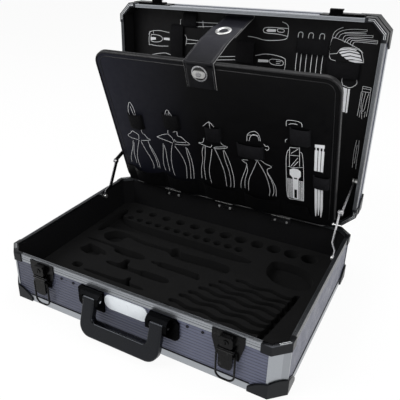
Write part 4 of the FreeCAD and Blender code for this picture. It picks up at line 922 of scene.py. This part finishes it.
class TOOLCASE_OT_foam(PieceOperator, bpy.types.Operator):
    """Cut the foam inlay and lay the plain foam under it"""
    bl_idname = "toolcase.foam"
    bl_label = "Foam Inlay"

    def execute(self, context):
        finish = cut_foam("cut foam", tuple(self.colours.foam))
        holes = [circle(x, y, radius) for x, y, radius in SOCKETS]
        holes += [soften(pairs(shape)) for shape in RECESSES.values()]
        holes.append(soften(wrench_rack(), rounds=1))
        (wide, deep), (cut_x, cut_y) = FOAM_HALF, FOAM_CUT
        rear = [(wide, cut_y), (cut_x, deep), (-cut_x, deep), (-wide, cut_y)]
        outer = rear + [(-x, -y) for x, y in rear]
        low, middle, top = FOAM_LEVELS
        bm = bmesh.new()
        cut_sheet(bm, outer, holes, middle, top, self.sizes.foam_edge, flat)
        inlay = new_piece("foam_inlay_cut", bm, finish, "base")
        even_shading(inlay)
        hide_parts("foam_inlay")
        bm = bmesh.new()
        cut_sheet(bm, outer, [], low, middle, BED_EDGE, flat)
        bed = new_piece("foam_bed_layer", bm, finish, "base")
        even_shading(bed)
        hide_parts("foam_bed")
        return {"FINISHED"}


# The board's piping: cords round its faces, a seam inside the front and a band between
CORD_RADIUS, CORD_LEVELS = 1.6, (-0.9, 1.2 - BOARD_THICK)
SEAM_INSET, SEAM_LEVEL, SEAM_RADIUS = 8.0, -0.75, 0.75
BAND_EDGES = ((0.2, -0.6), (1.3, -1.4), (1.3, -6.6), (0.2, -7.4))


def board_outline(grow):
    x0, x1, low, high = BOARD_BOX
    return rounded_box(x0 - grow, x1 + grow, low - grow, high + grow, BOARD_ROUND + grow)


class TOOLCASE_OT_board(PieceOperator, bpy.types.Operator):
    """Upholster the tool board and sew piping round it"""
    bl_idname = "toolcase.board"
    bl_label = "Tool Board"

    def execute(self, context):
        # The board's vinyl, with painted light towards its left edge
        vinyl = grained_vinyl("board vinyl", scaled(self.colours.vinyl, 0.42), 0.5, 0.08,
                              left=(0.014, 0.015, 0.026))
        bm = bmesh.new()
        padded_panel(bm, on_board, BOARD_BOX, BOARD_ROUND, back=-BOARD_THICK, front=-0.6,
                     crown=0.6, band=SEAM_INSET)
        board = new_piece("tool_board_padded", bm, vinyl, "board")
        even_shading(board)
        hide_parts("tool_board")
        cord = scaled(SLOT_COLOURS["piping"], 0.35)
        piping = grained_vinyl("piping vinyl", cord, 0.34, 0.22)
        bm = bmesh.new()
        edge = board_outline(0.1)
        for level in CORD_LEVELS:
            tube(bm, [on_board(x, up, level) for x, up in edge], CORD_RADIUS, closed=True)
        tube(bm, [on_board(x, up, SEAM_LEVEL) for x, up in board_outline(-SEAM_INSET)],
             SEAM_RADIUS, closed=True)
        loft(bm, [[on_board(x, up, level) for x, up in moved_out(edge, out)]
                  for out, level in BAND_EDGES], "open")
        trim = new_piece("board_piping", bm, piping, "board")
        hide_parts("board_binding")
        return {"FINISHED"}


# Pockets: middle, width and how far they bulge
POCKETS = ((-159.0, 68.0, 12.2), (-83.0, 68.0, 12.2), (-2.0, 70.0, 12.2),
           (81.0, 68.0, 12.2), (144.0, 44.0, 5.4))
STRIP_LEFT, STRIP_RIGHT, STRIP_FOOT = -213.5, 208.5, 10.0
STRIP_OFF, STRIP_LEAST_OFF, STRIP_THICK, STRIP_COLUMNS = 1.3, 0.25, 1.1, 240
HEM_SUNK, HEM_RADIUS = 0.5, 0.8
# The strip's upper edge falls from the pockets' top to a low end at its right
POCKET_TOP, LOW_TOP = 49.0, 24.7
FALL_START, FALL_LENGTH = 163.0, 10.0
# Its rows, as shares of its height, and the share up to which its foot is tucked in
STRIP_ROWS = (0.0, 0.012, 0.035, 0.07, 0.12, 0.18, 0.3, 0.45, 0.6, 0.75, 0.88, 0.95, 1.0)
TUCK = 0.18


class TOOLCASE_OT_pockets(PieceOperator, bpy.types.Operator):
    """Sew the strip of bulging pockets across the foot of the board"""
    bl_idname = "toolcase.pockets"
    bl_label = "Pockets"

    def out(self, x, share):
        """How far the strip stands off at x, share of its height up: more towards the
        middle and the top of each pocket."""
        off = STRIP_OFF
        for centre, width, bulge in POCKETS:
            t = (x - centre) / (width / 2)
            if abs(t) < 1:
                form = (1 - t * t) ** 0.8
                off = max(off, STRIP_OFF + bulge * form * (0.62 + 0.38 * share ** 0.6))
        return off

    def top(self, x):
        """The strip's upper edge."""
        t = min(1.0, max(0.0, (x - FALL_START) / FALL_LENGTH))
        return POCKET_TOP + (LOW_TOP - POCKET_TOP) * t * t * (3 - 2 * t)

    def side(self, bm, columns, inward):
        """The front or, drawn inward, the back of the strip."""
        rows = []
        for share in STRIP_ROWS:
            tuck = sqrt(1 - (1 - min(1.0, share / TUCK)) ** 2)
            rows.append([bm.verts.new(on_board(
                x, STRIP_FOOT + (self.top(x) - STRIP_FOOT) * share,
                max(self.out(x, share) * tuck - inward, STRIP_LEAST_OFF))) for x in columns])
        for a, b in pairwise(rows):
            bridge(bm, a, b, closed=False)
        return rows

    def execute(self, context):
        vinyl = grained_vinyl("pocket vinyl", scaled(self.colours.vinyl, 0.5), 0.42, 0.16)
        columns = [STRIP_LEFT + (STRIP_RIGHT - STRIP_LEFT) * k / STRIP_COLUMNS
                   for k in range(STRIP_COLUMNS + 1)]
        bm = bmesh.new()
        front, back = self.side(bm, columns, 0.0), self.side(bm, columns, STRIP_THICK)
        for row in (-1, 0):
            bridge(bm, front[row], back[row], closed=False)
        strip = new_piece("board_pocket_strip", bm, vinyl, "board", smooth=60)
        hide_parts("board_pockets")
        bm = bmesh.new()
        tube(bm, [on_board(x, self.top(x), self.out(x, 1.0) - HEM_SUNK)
                  for x in columns[2:-2:2]], HEM_RADIUS)
        hem_vinyl = grained_vinyl("hem vinyl", scaled(self.colours.vinyl, 0.25), 0.6, 0.03)
        new_piece("board_pocket_hem", bm, hem_vinyl, "board")
        return {"FINISHED"}


# Elastic loops on the board: middle, width, foot and height
BOARD_LOOPS = ((-160.1, 28.0, 151.0, 32.0), (-82.2, 30.0, 165.0, 31.0),
               (-0.8, 28.0, 155.0, 29.0), (66.1, 45.0, 134.0, 27.0),
               (152.2, 30.0, 180.0, 31.0), (187.9, 25.0, 97.0, 25.0))
# Bands in the lid: left, right, low and high, and whether they arch across or along
LID_BANDS = ((-146.0, -120.0, 338.5, 403.5, False), (-119.1, -92.1, 399.5, 426.6, False),
             (-12.0, 22.1, 344.0, 386.0, False), (96.6, 152.6, 373.0, 398.0, True),
             (149.1, 206.1, 340.0, 365.0, True))
LOOP_RISE, BAND_RISE, BAND_INSET, TAB = 5.6, 5.4, 2, 2.0
# A band's section: share of its half width, and level
BAND_SECTION = ((-1.0, 0.25), (-0.97, 0.55), (0.97, 0.55), (1.0, 0.25), (1.0, -0.25),
                (0.97, -0.55), (-0.97, -0.55), (-1.0, -0.25))


def arch(half, rise, steps):
    """Half-round path of a sewn loop: flat tab, arch, flat tab."""
    path = [(-half - TAB, 0.6), (-half, 0.7)]
    for k in range(1, steps):
        t = pi * k / steps
        path.append((-half * cos(t), 0.7 + (rise - 0.7) * sin(t) ** 0.6))
    return path + [(half, 0.7), (half + TAB, 0.6)]


def band(bm, path, side, width):
    swept(bm, path, side, [(a * width / 2, o) for a, o in BAND_SECTION])


class TOOLCASE_OT_loops(PieceOperator, bpy.types.Operator):
    """Sew the elastic loops on the board and the bands in the lid"""
    bl_idname = "toolcase.loops"
    bl_label = "Elastic Loops"

    def execute(self, context):
        # The board's loops get painted shade towards the left
        elastic = woven_elastic("loop elastic", (0.009, 0.009, 0.0105), "Z", shaded=True)
        bm = bmesh.new()
        board_up = (ON_BOARD.to_3x3() @ Vector((0, 0, 1))).normalized()
        for middle, width, foot, height in BOARD_LOOPS:
            band(bm, [on_board(middle + x, foot + height / 2, out)
                      for x, out in arch(width / 2, LOOP_RISE, 14)], board_up, height)
        loops = new_piece("board_elastic_loops", bm, elastic, "board")
        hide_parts("board_loops")
        elastic = woven_elastic("band elastic", (0.007, 0.007, 0.008), "X")
        bm = bmesh.new()
        for x0, x1, low, high, across in LID_BANDS:
            x, z = (x0 + x1) / 2, (low + high) / 2
            length, width = (x1 - x0, high - low) if across else (high - low, x1 - x0)
            band(bm, [on_lid(x + a, z, out) if across else on_lid(x, z + a, out)
                      for a, out in arch(length / 2 - BAND_INSET, BAND_RISE, 24)],
                 (0, 0, 1) if across else (1, 0, 0), width)
        bands = new_piece("lid_elastic_bands", bm, elastic, "lid")
        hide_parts("lid_bands")
        return {"FINISHED"}


# Printed tool outlines on the board: across and up, in millimetres
BOARD_PRINTS = {
    "print_narrow_pliers": (
        (-172, 177, -174, 188, -166, 209, -161, 203, -158, 179, -167, 171),
        (-166, 198, -163, 178),
        (-166, 122, -163, 133, -169, 136, -177, 141, -181, 134, -192, 127, -184, 122,
         -170, 121, -166, 119),
        (-154, 150, -155, 139, -148, 136, -146, 129, -135, 126, -161, 120),
        (-181, 116, -185, 100, -198, 72, -199, 58), (-180, 111, -187, 85, -187, 66, -187, 56),
        (-166, 119, -173, 103, -181, 78, -182, 57, -180, 47),
        (-162, 118, -156, 97, -148, 79, -145, 61, -147, 53),
        (-145, 122, -143, 102, -136, 82, -136, 58), (-143, 112, -136, 94, -131, 73, -132, 57),
    ),
    "print_long_pliers": (
        (-94, 184, -92, 198, -86, 205, -83, 199, -78, 188), (-85, 199, -84, 184),
        (-88, 196, -91, 183), (-94, 158, -96, 149, -88, 143, -86, 132),
        (-122, 137, -107, 146, -96, 149), (-122, 137, -109, 134, -99, 132, -89, 129),
        (-84, 156, -74, 160, -77, 148, -66, 148, -61, 140, -54, 137, -52, 133, -74, 129,
         -85, 128),
        (-84, 139, -82, 133, -60, 137), (-111, 124, -114, 109, -119, 86, -121, 68, -119, 55),
        (-110, 120, -108, 106, -110, 88, -110, 62, -110, 55),
        (-91, 126, -97, 106, -101, 85, -102, 60, -100, 47),
        (-86, 123, -74, 102, -69, 81, -71, 60, -73, 46),
        (-62, 126, -62, 112, -60, 88, -62, 63, -64, 48),
        (-60, 124, -55, 104, -54, 82, -55, 64, -57, 50),
    ),
    "print_broad_pliers": (
        (-19, 182, -6, 195, 2, 184), (-6, 195, -6, 178), (-12, 172, -7, 169, 1, 175),
        (-21, 156, -24, 144, -36, 143, -23, 139, -10, 136, -7, 143),
        (4, 152, 11, 158, 12, 149, 19, 147, 26, 144, -2, 135, -5, 139, 19, 145),
        (-25, 136, -30, 122, -30, 103, -37, 82, -39, 56),
        (-21, 138, -24, 114, -30, 91, -31, 68, -31, 55),
        (-8, 134, -13, 112, -21, 81, -21, 61, -19, 50),
        (-2, 135, 4, 116, 11, 89, 12, 65, 12, 50), (14, 136, 15, 114, 21, 92, 22, 63, 20, 50),
        (16, 137, 23, 116, 27, 94, 29, 70, 27, 51),
    ),
    "print_pincers": (
        (61, 167, 62, 180, 68, 187, 75, 190, 82, 188, 85, 178, 85, 172),
        (65, 168, 68, 179, 75, 184, 82, 180, 83, 172), (64, 180, 82, 183),
        (91, 167, 94, 162, 98, 165, 100, 159, 96, 154, 93, 157),
        (60, 125, 47, 123, 52, 119, 58, 116, 55, 106, 48, 87, 42, 69, 41, 54),
        (57, 111, 58, 100, 53, 86, 50, 74, 49, 56), (77, 129, 68, 104, 59, 83, 56, 65, 56, 52),
        (77, 129, 87, 109, 93, 93, 98, 65, 95, 50),
        (73, 128, 84, 131, 91, 124, 102, 122, 102, 118, 94, 114, 94, 104, 99, 94, 104, 79,
         105, 63, 102, 52),
        (94, 107, 100, 95, 107, 80, 109, 69, 108, 53),
    ),
    "print_knife": (
        (130, 211, 130, 220, 132, 223, 143, 224, 152, 223, 155, 220, 155, 214),
        (134, 215, 137, 217, 143, 218, 148, 217), (128, 179, 128, 184, 131, 186),
        (135, 170, 134, 152, 134, 129), (151, 173, 151, 156, 151, 134), (135, 170, 151, 172),
        (135, 154, 151, 156), (131, 129, 144, 129, 156, 133),
        (134, 166, 130, 160, 128, 141, 128, 102, 128, 54, 142, 56, 158, 57),
        (152, 164, 155, 164, 157, 148, 158, 110, 158, 57), (137, 132, 148, 151),
        (137, 158, 149, 170), (141, 132, 149, 144),
    ),
}
KNIFE_GRIP = (
    (134, 112, 134, 123, 140, 127, 148, 127, 153, 123, 153, 112, 149, 106, 149, 58, 139, 58,
     139, 106),
)
KNIFE_SLOTS = (
    (141.6, 80, 146.4, 80, 146.4, 60, 141.6, 60), (141.4, 104, 147, 104, 147, 107, 141.4, 107),
)
GRIP_ROWS = tuple(
    (x, 59.0 + 2.5 * k, x + 2.4, 59.0 + 2.5 * k + (0.8 if x < 140 else -0.8))
    for x in (129.6, 132.9, 136.0, 149.6, 152.6, 155.2) for k in range(18))
FILES = (
    (175.4, 185, 190.6, 186.5, 190.6, 180, 175.4, 179),
    (175.4, 174, 180.2, 174, 179.4, 131, 175.2, 131),
    (181.2, 174, 185.4, 174, 184.4, 131, 180.6, 131),
    (186.4, 174, 190.6, 174, 189.4, 131, 185.4, 131),
    (176.6, 180, 178.6, 180, 178.6, 173, 176.6, 173),
    (182.2, 180, 184.4, 180, 184.4, 173, 182.2, 173),
    (187.4, 180, 189.4, 180, 189.4, 173, 187.4, 173),
    (176.6, 92, 181.0, 92, 181.6, 48, 180.4, 27, 178.9, 26, 177.4, 48),
    (181.8, 92, 185.8, 92, 186.2, 50, 184.8, 30, 183.6, 30, 182.2, 50),
    (186.6, 92, 190.6, 92, 191.2, 48, 189.2, 27, 188.0, 26, 186.9, 48),
)

# Printed outlines on the lid's panel: across and height
LID_DRIVERS = (
    (-152, 387, -173, 390, -195, 387, -198, 380), (-195, 387, -198, 372, -197, 360),
    (-198, 362, -177, 360, -154, 362),
    (-192, 381, -173, 381, -165, 375, -172, 368, -192, 367, -194, 373, -192, 381),
    (-187, 389, -187, 383), (-197, 334, -194, 342, -173, 347, -158, 349, -143, 344, -121, 344),
    (-126, 413, -128, 411, -127, 398), (-104, 410, -81, 410, -47, 411),
    (-104, 401, -81, 403, -53, 405), (-81, 413, -80, 401),
    (-118, 386, -114, 381, -114, 374, -116, 367), (-114, 378, -86, 377), (-115, 370, -90, 372),
    (68, 421, 77, 418, 80, 413, 80, 399, 77, 392, 40, 388, 24, 392, 8, 393),
    (80, 411, 53, 411, 38, 410, 35, 405, 38, 400.5, 62, 401, 75, 399, 80, 398),
    (60, 407, 62, 410, 73, 409, 73, 404, 62, 404, 60, 407),
    (24, 361, 45, 367, 78, 363, 80, 356, 80, 344, 76, 338, 64, 336),
    (50, 354, 53, 358.5, 73, 358, 77, 354, 75, 348.5, 55, 348.5, 50, 354), (63, 355, 72, 355),
    (63, 351.5, 70, 351.5), (-48, 352, -5, 357), (-51, 346, -5, 351),
    (-6, 364, 0, 360, -1, 348),
)
LID_BITS = (tuple((x - 4, 398, x - 3.6, 407, x + 4, 407, x + 3.6, 398)
                  for x in (101.5, 119.0, 137.5))
            + tuple((x + 0.4, 373, x, 358, x + 0.4, 340)
                    for x in (98, 106, 115, 124, 133, 142)))
LID_KEYS = (
    (154, 402, 155, 409, 160, 415, 169, 419),
    (158, 402, 161, 409, 167, 414, 182, 417.5, 206, 418),
    (206, 418, 206, 414.5, 182, 412.5, 172, 411), (164, 403, 167, 409, 175, 411, 206, 412),
    (171, 400, 172, 406, 178, 408.5, 216, 410), (216, 410, 216, 407),
    (216, 407, 182, 405.5, 176, 402, 174, 396), (178, 397, 180, 401, 185, 404, 224, 403),
    (224, 403, 224, 398), (224, 398, 191, 399, 188, 397, 187, 391),
    (183, 394, 184, 400, 189, 401, 223, 401),
    (160, 402, 153, 402, 152, 386, 153, 368, 164, 366), (153, 376, 165, 378),
    (160, 402, 174, 398, 191, 391, 200, 387, 205, 382),
    (165, 378, 169, 387, 184, 389.5, 201, 386.5, 205, 379, 208.5, 367),
    (170, 330, 178, 327, 181, 328, 178, 334, 179, 341),
    (181, 328, 193, 324, 201, 330, 203, 333, 202, 339), (213, 321, 213, 330),
    (213, 330, 226, 329), (226, 329, 226, 321), (214, 326.5, 225, 326), (213, 321.5, 226, 321),
    (212, 321, 212, 301, 211.5, 280), (214.5, 320, 214, 300, 218, 284),
    (219, 321, 217, 298, 218, 288, 221, 290, 222, 308, 224, 320),
    (226, 321, 226.5, 300, 226, 281), (218, 287, 219, 276), (215, 278, 215, 290),
    (223, 279, 223, 289), (217, 238, 215.6, 220, 216, 205, 217, 187),
    (221, 238, 222.6, 218, 222, 203, 223, 186), (219, 230, 219.4, 196),
)
LID_FILLS = (
    (-193, 376, -182, 376, -182, 372, -193, 370),
    (-164, 377, -151, 377.6, -151, 373, -164, 373), (181, 325, 189, 323, 190.8, 283, 186, 283),
    (190.2, 323, 193.6, 323, 194.6, 283, 192, 282),
    (41, 405, 44, 408, 58, 408, 58, 404, 44, 403), (30, 355.5, 49, 356, 49, 352, 30, 350.5),
    (166, 381.5, 169, 386, 184, 388, 195, 386.5, 194, 384.8, 183, 386, 171, 383.6),
    (167.5, 380, 173, 382.4, 184, 384.8, 197, 383.2, 201, 380.2, 184, 382.6, 170, 378),
    (171, 376.6, 184, 381, 201.5, 378.6, 203, 374.8, 186, 377, 174, 374),
    (176.5, 373, 187, 375.4, 203.5, 373.2, 206, 369.6, 190, 371.2, 181, 370),
    (184, 369, 196, 370, 206.6, 368.4, 207.6, 367, 196, 366, 186, 367.6),
)
INK_LIFT, INK_SUNK, INK_EDGE = 0.14, 0.02, 0.05
GRIP_WIDE, LID_SHARE = 1.3, 1.2


class TOOLCASE_OT_print(PieceOperator, bpy.types.Operator):
    """Print the tool outlines on the board and on the lid's panel"""
    bl_idname = "toolcase.print"
    bl_label = "Printed Outlines"

    def ink(self, name, lines, surface, body, width, fills=(), holes=()):
        """Strokes and filled outlines on the board or on the lid's panel."""
        def place(x, up, out):
            return surface(x, up, out - INK_SUNK)

        bm = bmesh.new()
        for line in lines:
            printed_line(bm, soften(pairs(line), closed=False), width, INK_LIFT, place)
        for outline in fills:
            cut_sheet(bm, pairs(outline), [pairs(hole) for hole in holes], 0.0, INK_LIFT,
                      INK_EDGE, place, steps=1)
        new_piece(name, bm, self.finish, body)

    def execute(self, context):
        self.finish = screen_ink("printing ink", tuple(self.colours.ink))
        width = self.sizes.ink_width
        for name, lines in BOARD_PRINTS.items():
            self.ink(name, lines, on_board, "board", width)
        self.ink("print_knife_grip", GRIP_ROWS, on_board, "board", GRIP_WIDE,
                 KNIFE_GRIP, KNIFE_SLOTS)
        self.ink("print_files", (), on_board, "board", width, FILES)
        self.ink("print_lid_drivers", LID_DRIVERS, on_lid, "lid", width * LID_SHARE)
        self.ink("print_lid_bits", LID_BITS, on_lid, "lid", width * LID_SHARE)
        self.ink("print_lid_keys", LID_KEYS, on_lid, "lid", width)
        self.ink("print_lid_files", (), on_lid, "lid", width, LID_FILLS)
        return {"FINISHED"}


class TOOLCASE_OT_lid_panel(PieceOperator, bpy.types.Operator):
    """Upholster the tool panel inside the lid"""
    bl_idname = "toolcase.lid_panel"
    bl_label = "Lid Panel"

    def execute(self, context):
        vinyl = grained_vinyl("lid vinyl", scaled(self.colours.vinyl, 0.6), 0.52)
        bm = bmesh.new()
        padded_panel(bm, on_lid, LID_PANEL, radius=8.0, back=-7.4, front=-0.5, crown=0.5)
        panel = new_piece("lid_panel_padded", bm, vinyl, "lid")
        even_shading(panel)
        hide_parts("lid_tool_panel")
        return {"FINISHED"}


STRAP_WIDE, STRAP_THICK = 53.0, 2.2
EDGE_RADIUS, THREAD_RADIUS, THREAD_LEVEL = 0.55, 0.34, 0.85
STITCH_INSET = 3.0
# Each stitch, as shares of a step: its start, the room it needs, its length and its rise
STITCH = (0.15, 0.6, 0.62, 0.25)
# The board half's path up the board and over its edge, off its hinge's plane and up, and
# on to the lid, as y and z; then the lid half's path
STRAP_RISE = ((-11.0, 260.0), (-11.0, 280.0), (-11.0, 298.0), (-11.6, 302.4),
              (-12.1, 304.6), (-11.2, 306.8), (-8.0, 307.2), (-4.1, 307.2))
STRAP_FREE = ((105.0, 396.0), (131.6, 404.2), (158.0, 412.5))
LID_STRAP = ((208.1, 428.4), (208.1, 424.0), (192.0, 419.2), (175.0, 414.4),
             (158.0, 409.5), (132.0, 401.4))
# The eyelet's section, as radius and level, and its distance from the strap's end
EYELET = ((7.5, -1.1), (8.9, -1.1), (8.9, 1.1), (13.5, 1.1), (14.0, 1.5), (13.7, 2.0),
          (12.4, 2.45), (10.6, 2.5), (8.8, 2.2), (7.5, 1.4))
EYELET_INSET = 15.0


def strap_profile():
    """Half-padded strap: rolled edges, a sewn groove inside each and a flat middle."""
    w, t = STRAP_WIDE / 2, STRAP_THICK / 2
    top = [(w, 0.0), (w - 0.25, t * 0.75), (w - 1.1, t), (w - 2.2, t * 0.9),
           (w - STITCH_INSET, t * 0.55), (w - 3.8, t * 0.9), (w - 6.0, t)]
    return ([(-a, o) for a, o in top] + top[::-1] + [(a, -o) for a, o in top[1:]]
            + [(-a, -o) for a, o in top[:0:-1]])


class TOOLCASE_OT_straps(PieceOperator, bpy.types.Operator):
    """Make the two halves of the board's strap, with their stitching"""
    bl_idname = "toolcase.straps"
    bl_label = "Straps"

    def stitches(self, bm, path):
        """Rows of raised stitches in the grooves, on both faces."""
        step = self.sizes.stitch * MM
        start, room, long, rise = STITCH
        for side in (-1, 1):
            beside = ACROSS * (side * (STRAP_WIDE / 2 - STITCH_INSET) * MM)
            for a, b in pairwise(path):
                along = (b - a).normalized()
                off = along.cross(ACROSS).normalized()
                for level in (THREAD_LEVEL * MM, -THREAD_LEVEL * MM):
                    at, size = start * step, (b - a).length
                    while at + room * step < size:
                        one = a + along * at + beside + off * level
                        two = one + along * (long * step)
                        tube(bm, [one, (one + two) / 2 + off * (level * rise), two],
                             THREAD_RADIUS, sides=5)
                        at += step

    def strap(self, name, points, body, node, panel):
        """One half of the strap, with its woven edges and its thread."""
        path = between(points)
        bm = bmesh.new()
        swept(bm, path, ACROSS, strap_profile())
        piece = new_piece(name, bm, self.vinyl, body, 50)
        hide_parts(node)
        bm = bmesh.new()
        for side in (-1, 1):
            tube(bm, [p + ACROSS * (side * (STRAP_WIDE / 2 - 0.1) * MM) for p in path],
                 EDGE_RADIUS)
        edges = new_piece(f"{name}_edges", bm, self.edging, body)
        bm = bmesh.new()
        self.stitches(bm, path)
        thread = new_piece(f"{name}_stitches", bm, self.thread, body)
        return [piece, edges, thread]

    def eyelet(self, end, along):
        """The upper eyelet: a rolled flange on a short barrel."""
        bm = bmesh.new()
        middle, off = end - along * (EYELET_INSET * MM), ACROSS.cross(along)
        loft(bm, [[middle + ACROSS * (x * MM) + along * (y * MM) + off * (level * MM)
                   for x, y in circle(0.0, 0.0, radius, 48)] for radius, level in EYELET],
             "joined")
        ring = new_piece("strap_eyelet_ring", bm,
                         plated_steel("eyelet plate", (0.7, 0.7, 0.69), 0.36, 0.6),
                         "board", 50)
        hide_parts("strap_eyelet")
        return ring

    def execute(self, context):
        self.vinyl = strap_vinyl_with_painted_light("strap vinyl", (0.0022, 0.0022, 0.003))
        self.thread = woven_elastic("strap thread", (0.10, 0.10, 0.105), "Z")
        self.edging = woven_elastic("strap edging", (0.3, 0.3, 0.3), "Z")
        rise = [ON_BOARD @ flat(STRAP_X, y, z) for y, z in STRAP_RISE]
        free = [flat(STRAP_X, y, z) for y, z in STRAP_FREE]
        folding = self.strap("board_strap_sewn", rise + free, "board", "board_strap",
                             "tool_board_padded")
        folding.append(self.eyelet(free[-1], (free[-1] - free[0]).normalized()))
        self.strap("lid_strap_sewn", [flat(STRAP_X, y, z) for y, z in LID_STRAP], "lid",
                   "lid_strap", "lid_panel_padded")
        for piece in folding:
            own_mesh(piece)
        return {"FINISHED"}


# Lamps: name, place, size and power. They aim at the middle of the open case
LAMPS = (("key_light", (-1.3, -1.5, 1.9), 1.4, 38.0),
         ("fill_light", (1.9, -1.2, 1.3), 1.6, 20.0),
         ("top_light", (0.1, 0.7, 2.3), 1.6, 24.0))
CASE_MIDDLE = Vector((0.0, 0.0, 0.2))
LENS, SENSOR, SHIFT = 46.3, 36.0, (0.0666, -0.0211)
CAMERA_PLACE = (0.3598, -0.6621, 0.5378)
CAMERA_DOWN, CAMERA_TURN = 25.65, 29.98
FLOOR_RADIUS, FLOOR_DROP, FLOOR_GLOW = 14.0, -0.0005, 0.93


class TOOLCASE_OT_studio(PieceOperator, bpy.types.Operator):
    """Set the floor, the soft lights and the camera"""
    bl_idname = "toolcase.studio"
    bl_label = "Studio"

    def floor(self):
        """A white floor, which glows to the eye and in reflections."""
        bm = bmesh.new()
        bmesh.ops.create_circle(bm, cap_ends=True, radius=FLOOR_RADIUS, segments=96)
        mesh = bpy.data.meshes.new("studio_floor")
        bm.to_mesh(mesh)
        bm.free()
        f = Finish("studio floor", (0.92, 0.92, 0.92), 0.9)
        f.tint(f.spread(f.noise(3.0), 0.3, 0.7, 0.0, 0.05), (0.88, 0.88, 0.88))
        glow = f.node("Emission", {"Color": (1, 1, 1, 1), "Strength": 1.0})
        rays = f.node("LightPath").outputs
        seen = f.sums("MAXIMUM", rays["Is Camera Ray"], rays["Is Glossy Ray"])
        blend = f.node("MixShader", {0: f.sums("MULTIPLY", seen, FLOOR_GLOW),
                                     1: f.shader.outputs[0], 2: glow.outputs[0]})
        out = next(n for n in f.tree.nodes if n.type == "OUTPUT_MATERIAL")
        f.tree.links.new(blend.outputs[0], out.inputs["Surface"])
        mesh.materials.append(f.material)
        floor = in_scene("studio_floor", mesh)
        floor.location.z = FLOOR_DROP
        floor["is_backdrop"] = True

    def lamp(self, name, place, size, power):
        """A round area lamp."""
        light = bpy.data.lights.new(name, "AREA")
        light.shape, light.size, light.energy = "DISK", size, power
        lamp = in_scene(name, light)
        lamp.location = place
        way = CASE_MIDDLE - Vector(place)
        lamp.rotation_euler = way.to_track_quat("-Z", "Y").to_euler()

    def world(self):
        """A white room to the eye, which lights softly, and less from above."""
        world = bpy.data.worlds.new("studio")
        world.use_nodes = True
        n = Nodes(world.node_tree)
        back = n.tree.nodes["Background"]
        back.inputs["Color"].default_value = (1, 1, 1, 1)
        rays = n.node("LightPath").outputs
        seen = n.sums("MAXIMUM", rays["Is Camera Ray"], rays["Is Glossy Ray"])
        clear = n.sums("MAXIMUM", seen, rays["Is Transmission Ray"])
        ceiling = n.spread(n.part("Z", n.places["Generated"]), 0.1, 0.75, 1.0, 0.18)
        n.tree.links.new(n.choice(clear, 0.42, ceiling), back.inputs["Strength"])
        bpy.context.scene.world = world

    def camera(self):
        """The camera fitted to the photograph."""
        data = bpy.data.cameras.new("camera")
        data.lens, data.sensor_width = LENS, SENSOR
        data.shift_x, data.shift_y = SHIFT
        data.clip_end = 50.0
        camera = in_scene("camera", data)
        camera.location = CAMERA_PLACE
        camera.rotation_euler = (radians(90 - CAMERA_DOWN), 0.0, radians(CAMERA_TURN))
        bpy.context.scene.camera = camera

    def execute(self, context):
        self.floor()
        self.world()
        for lamp in LAMPS:
            self.lamp(*lamp)
        self.camera()
        context.scene.view_settings.view_transform = "Standard"
        return {"FINISHED"}


class TOOLCASE_PT_panel(bpy.types.Panel):
    """Pieces of the tool case"""
    bl_idname = "TOOLCASE_PT_panel"
    bl_label = "Tool Case"
    bl_space_type = "VIEW_3D"
    bl_region_type = "UI"
    bl_category = "Tool Case"

    def draw(self, context):
        for group in (context.scene.tool_case_colours, context.scene.tool_case_sizes):
            for key in group.bl_rna.properties.keys():
                if key not in {"rna_type", "name"}:
                    self.layout.prop(group, key)
        for operator in OPERATORS:
            self.layout.operator(operator.bl_idname)


OPERATORS = (TOOLCASE_OT_studio, TOOLCASE_OT_shell, TOOLCASE_OT_caps,
             TOOLCASE_OT_fittings, TOOLCASE_OT_foam, TOOLCASE_OT_board,
             TOOLCASE_OT_pockets, TOOLCASE_OT_loops, TOOLCASE_OT_lid_panel,
             TOOLCASE_OT_print, TOOLCASE_OT_straps)
CLASSES = (ToolCaseColours, ToolCaseSizes, *OPERATORS, TOOLCASE_PT_panel)


def register():
    for cls in CLASSES:
        bpy.utils.register_class(cls)
    bpy.types.Scene.tool_case_colours = PointerProperty(type=ToolCaseColours)
    bpy.types.Scene.tool_case_sizes = PointerProperty(type=ToolCaseSizes)


def unregister():
    del bpy.types.Scene.tool_case_sizes
    del bpy.types.Scene.tool_case_colours
    for cls in reversed(CLASSES):
        bpy.utils.unregister_class(cls)


def corners(bounds):
    return [[round(value, 5) for value in corner] for corner in bounds]


def main():
    """Makes every piece in order."""
    sizes = {"cad": corners(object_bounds())}
    register()
    for operator in OPERATORS:
        group, call = operator.bl_idname.split(".")
        getattr(getattr(bpy.ops, group), call)()
    bpy.context.view_layer.update()
    sizes["visual"] = corners(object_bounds())


if __name__ == "__main__":
    main()
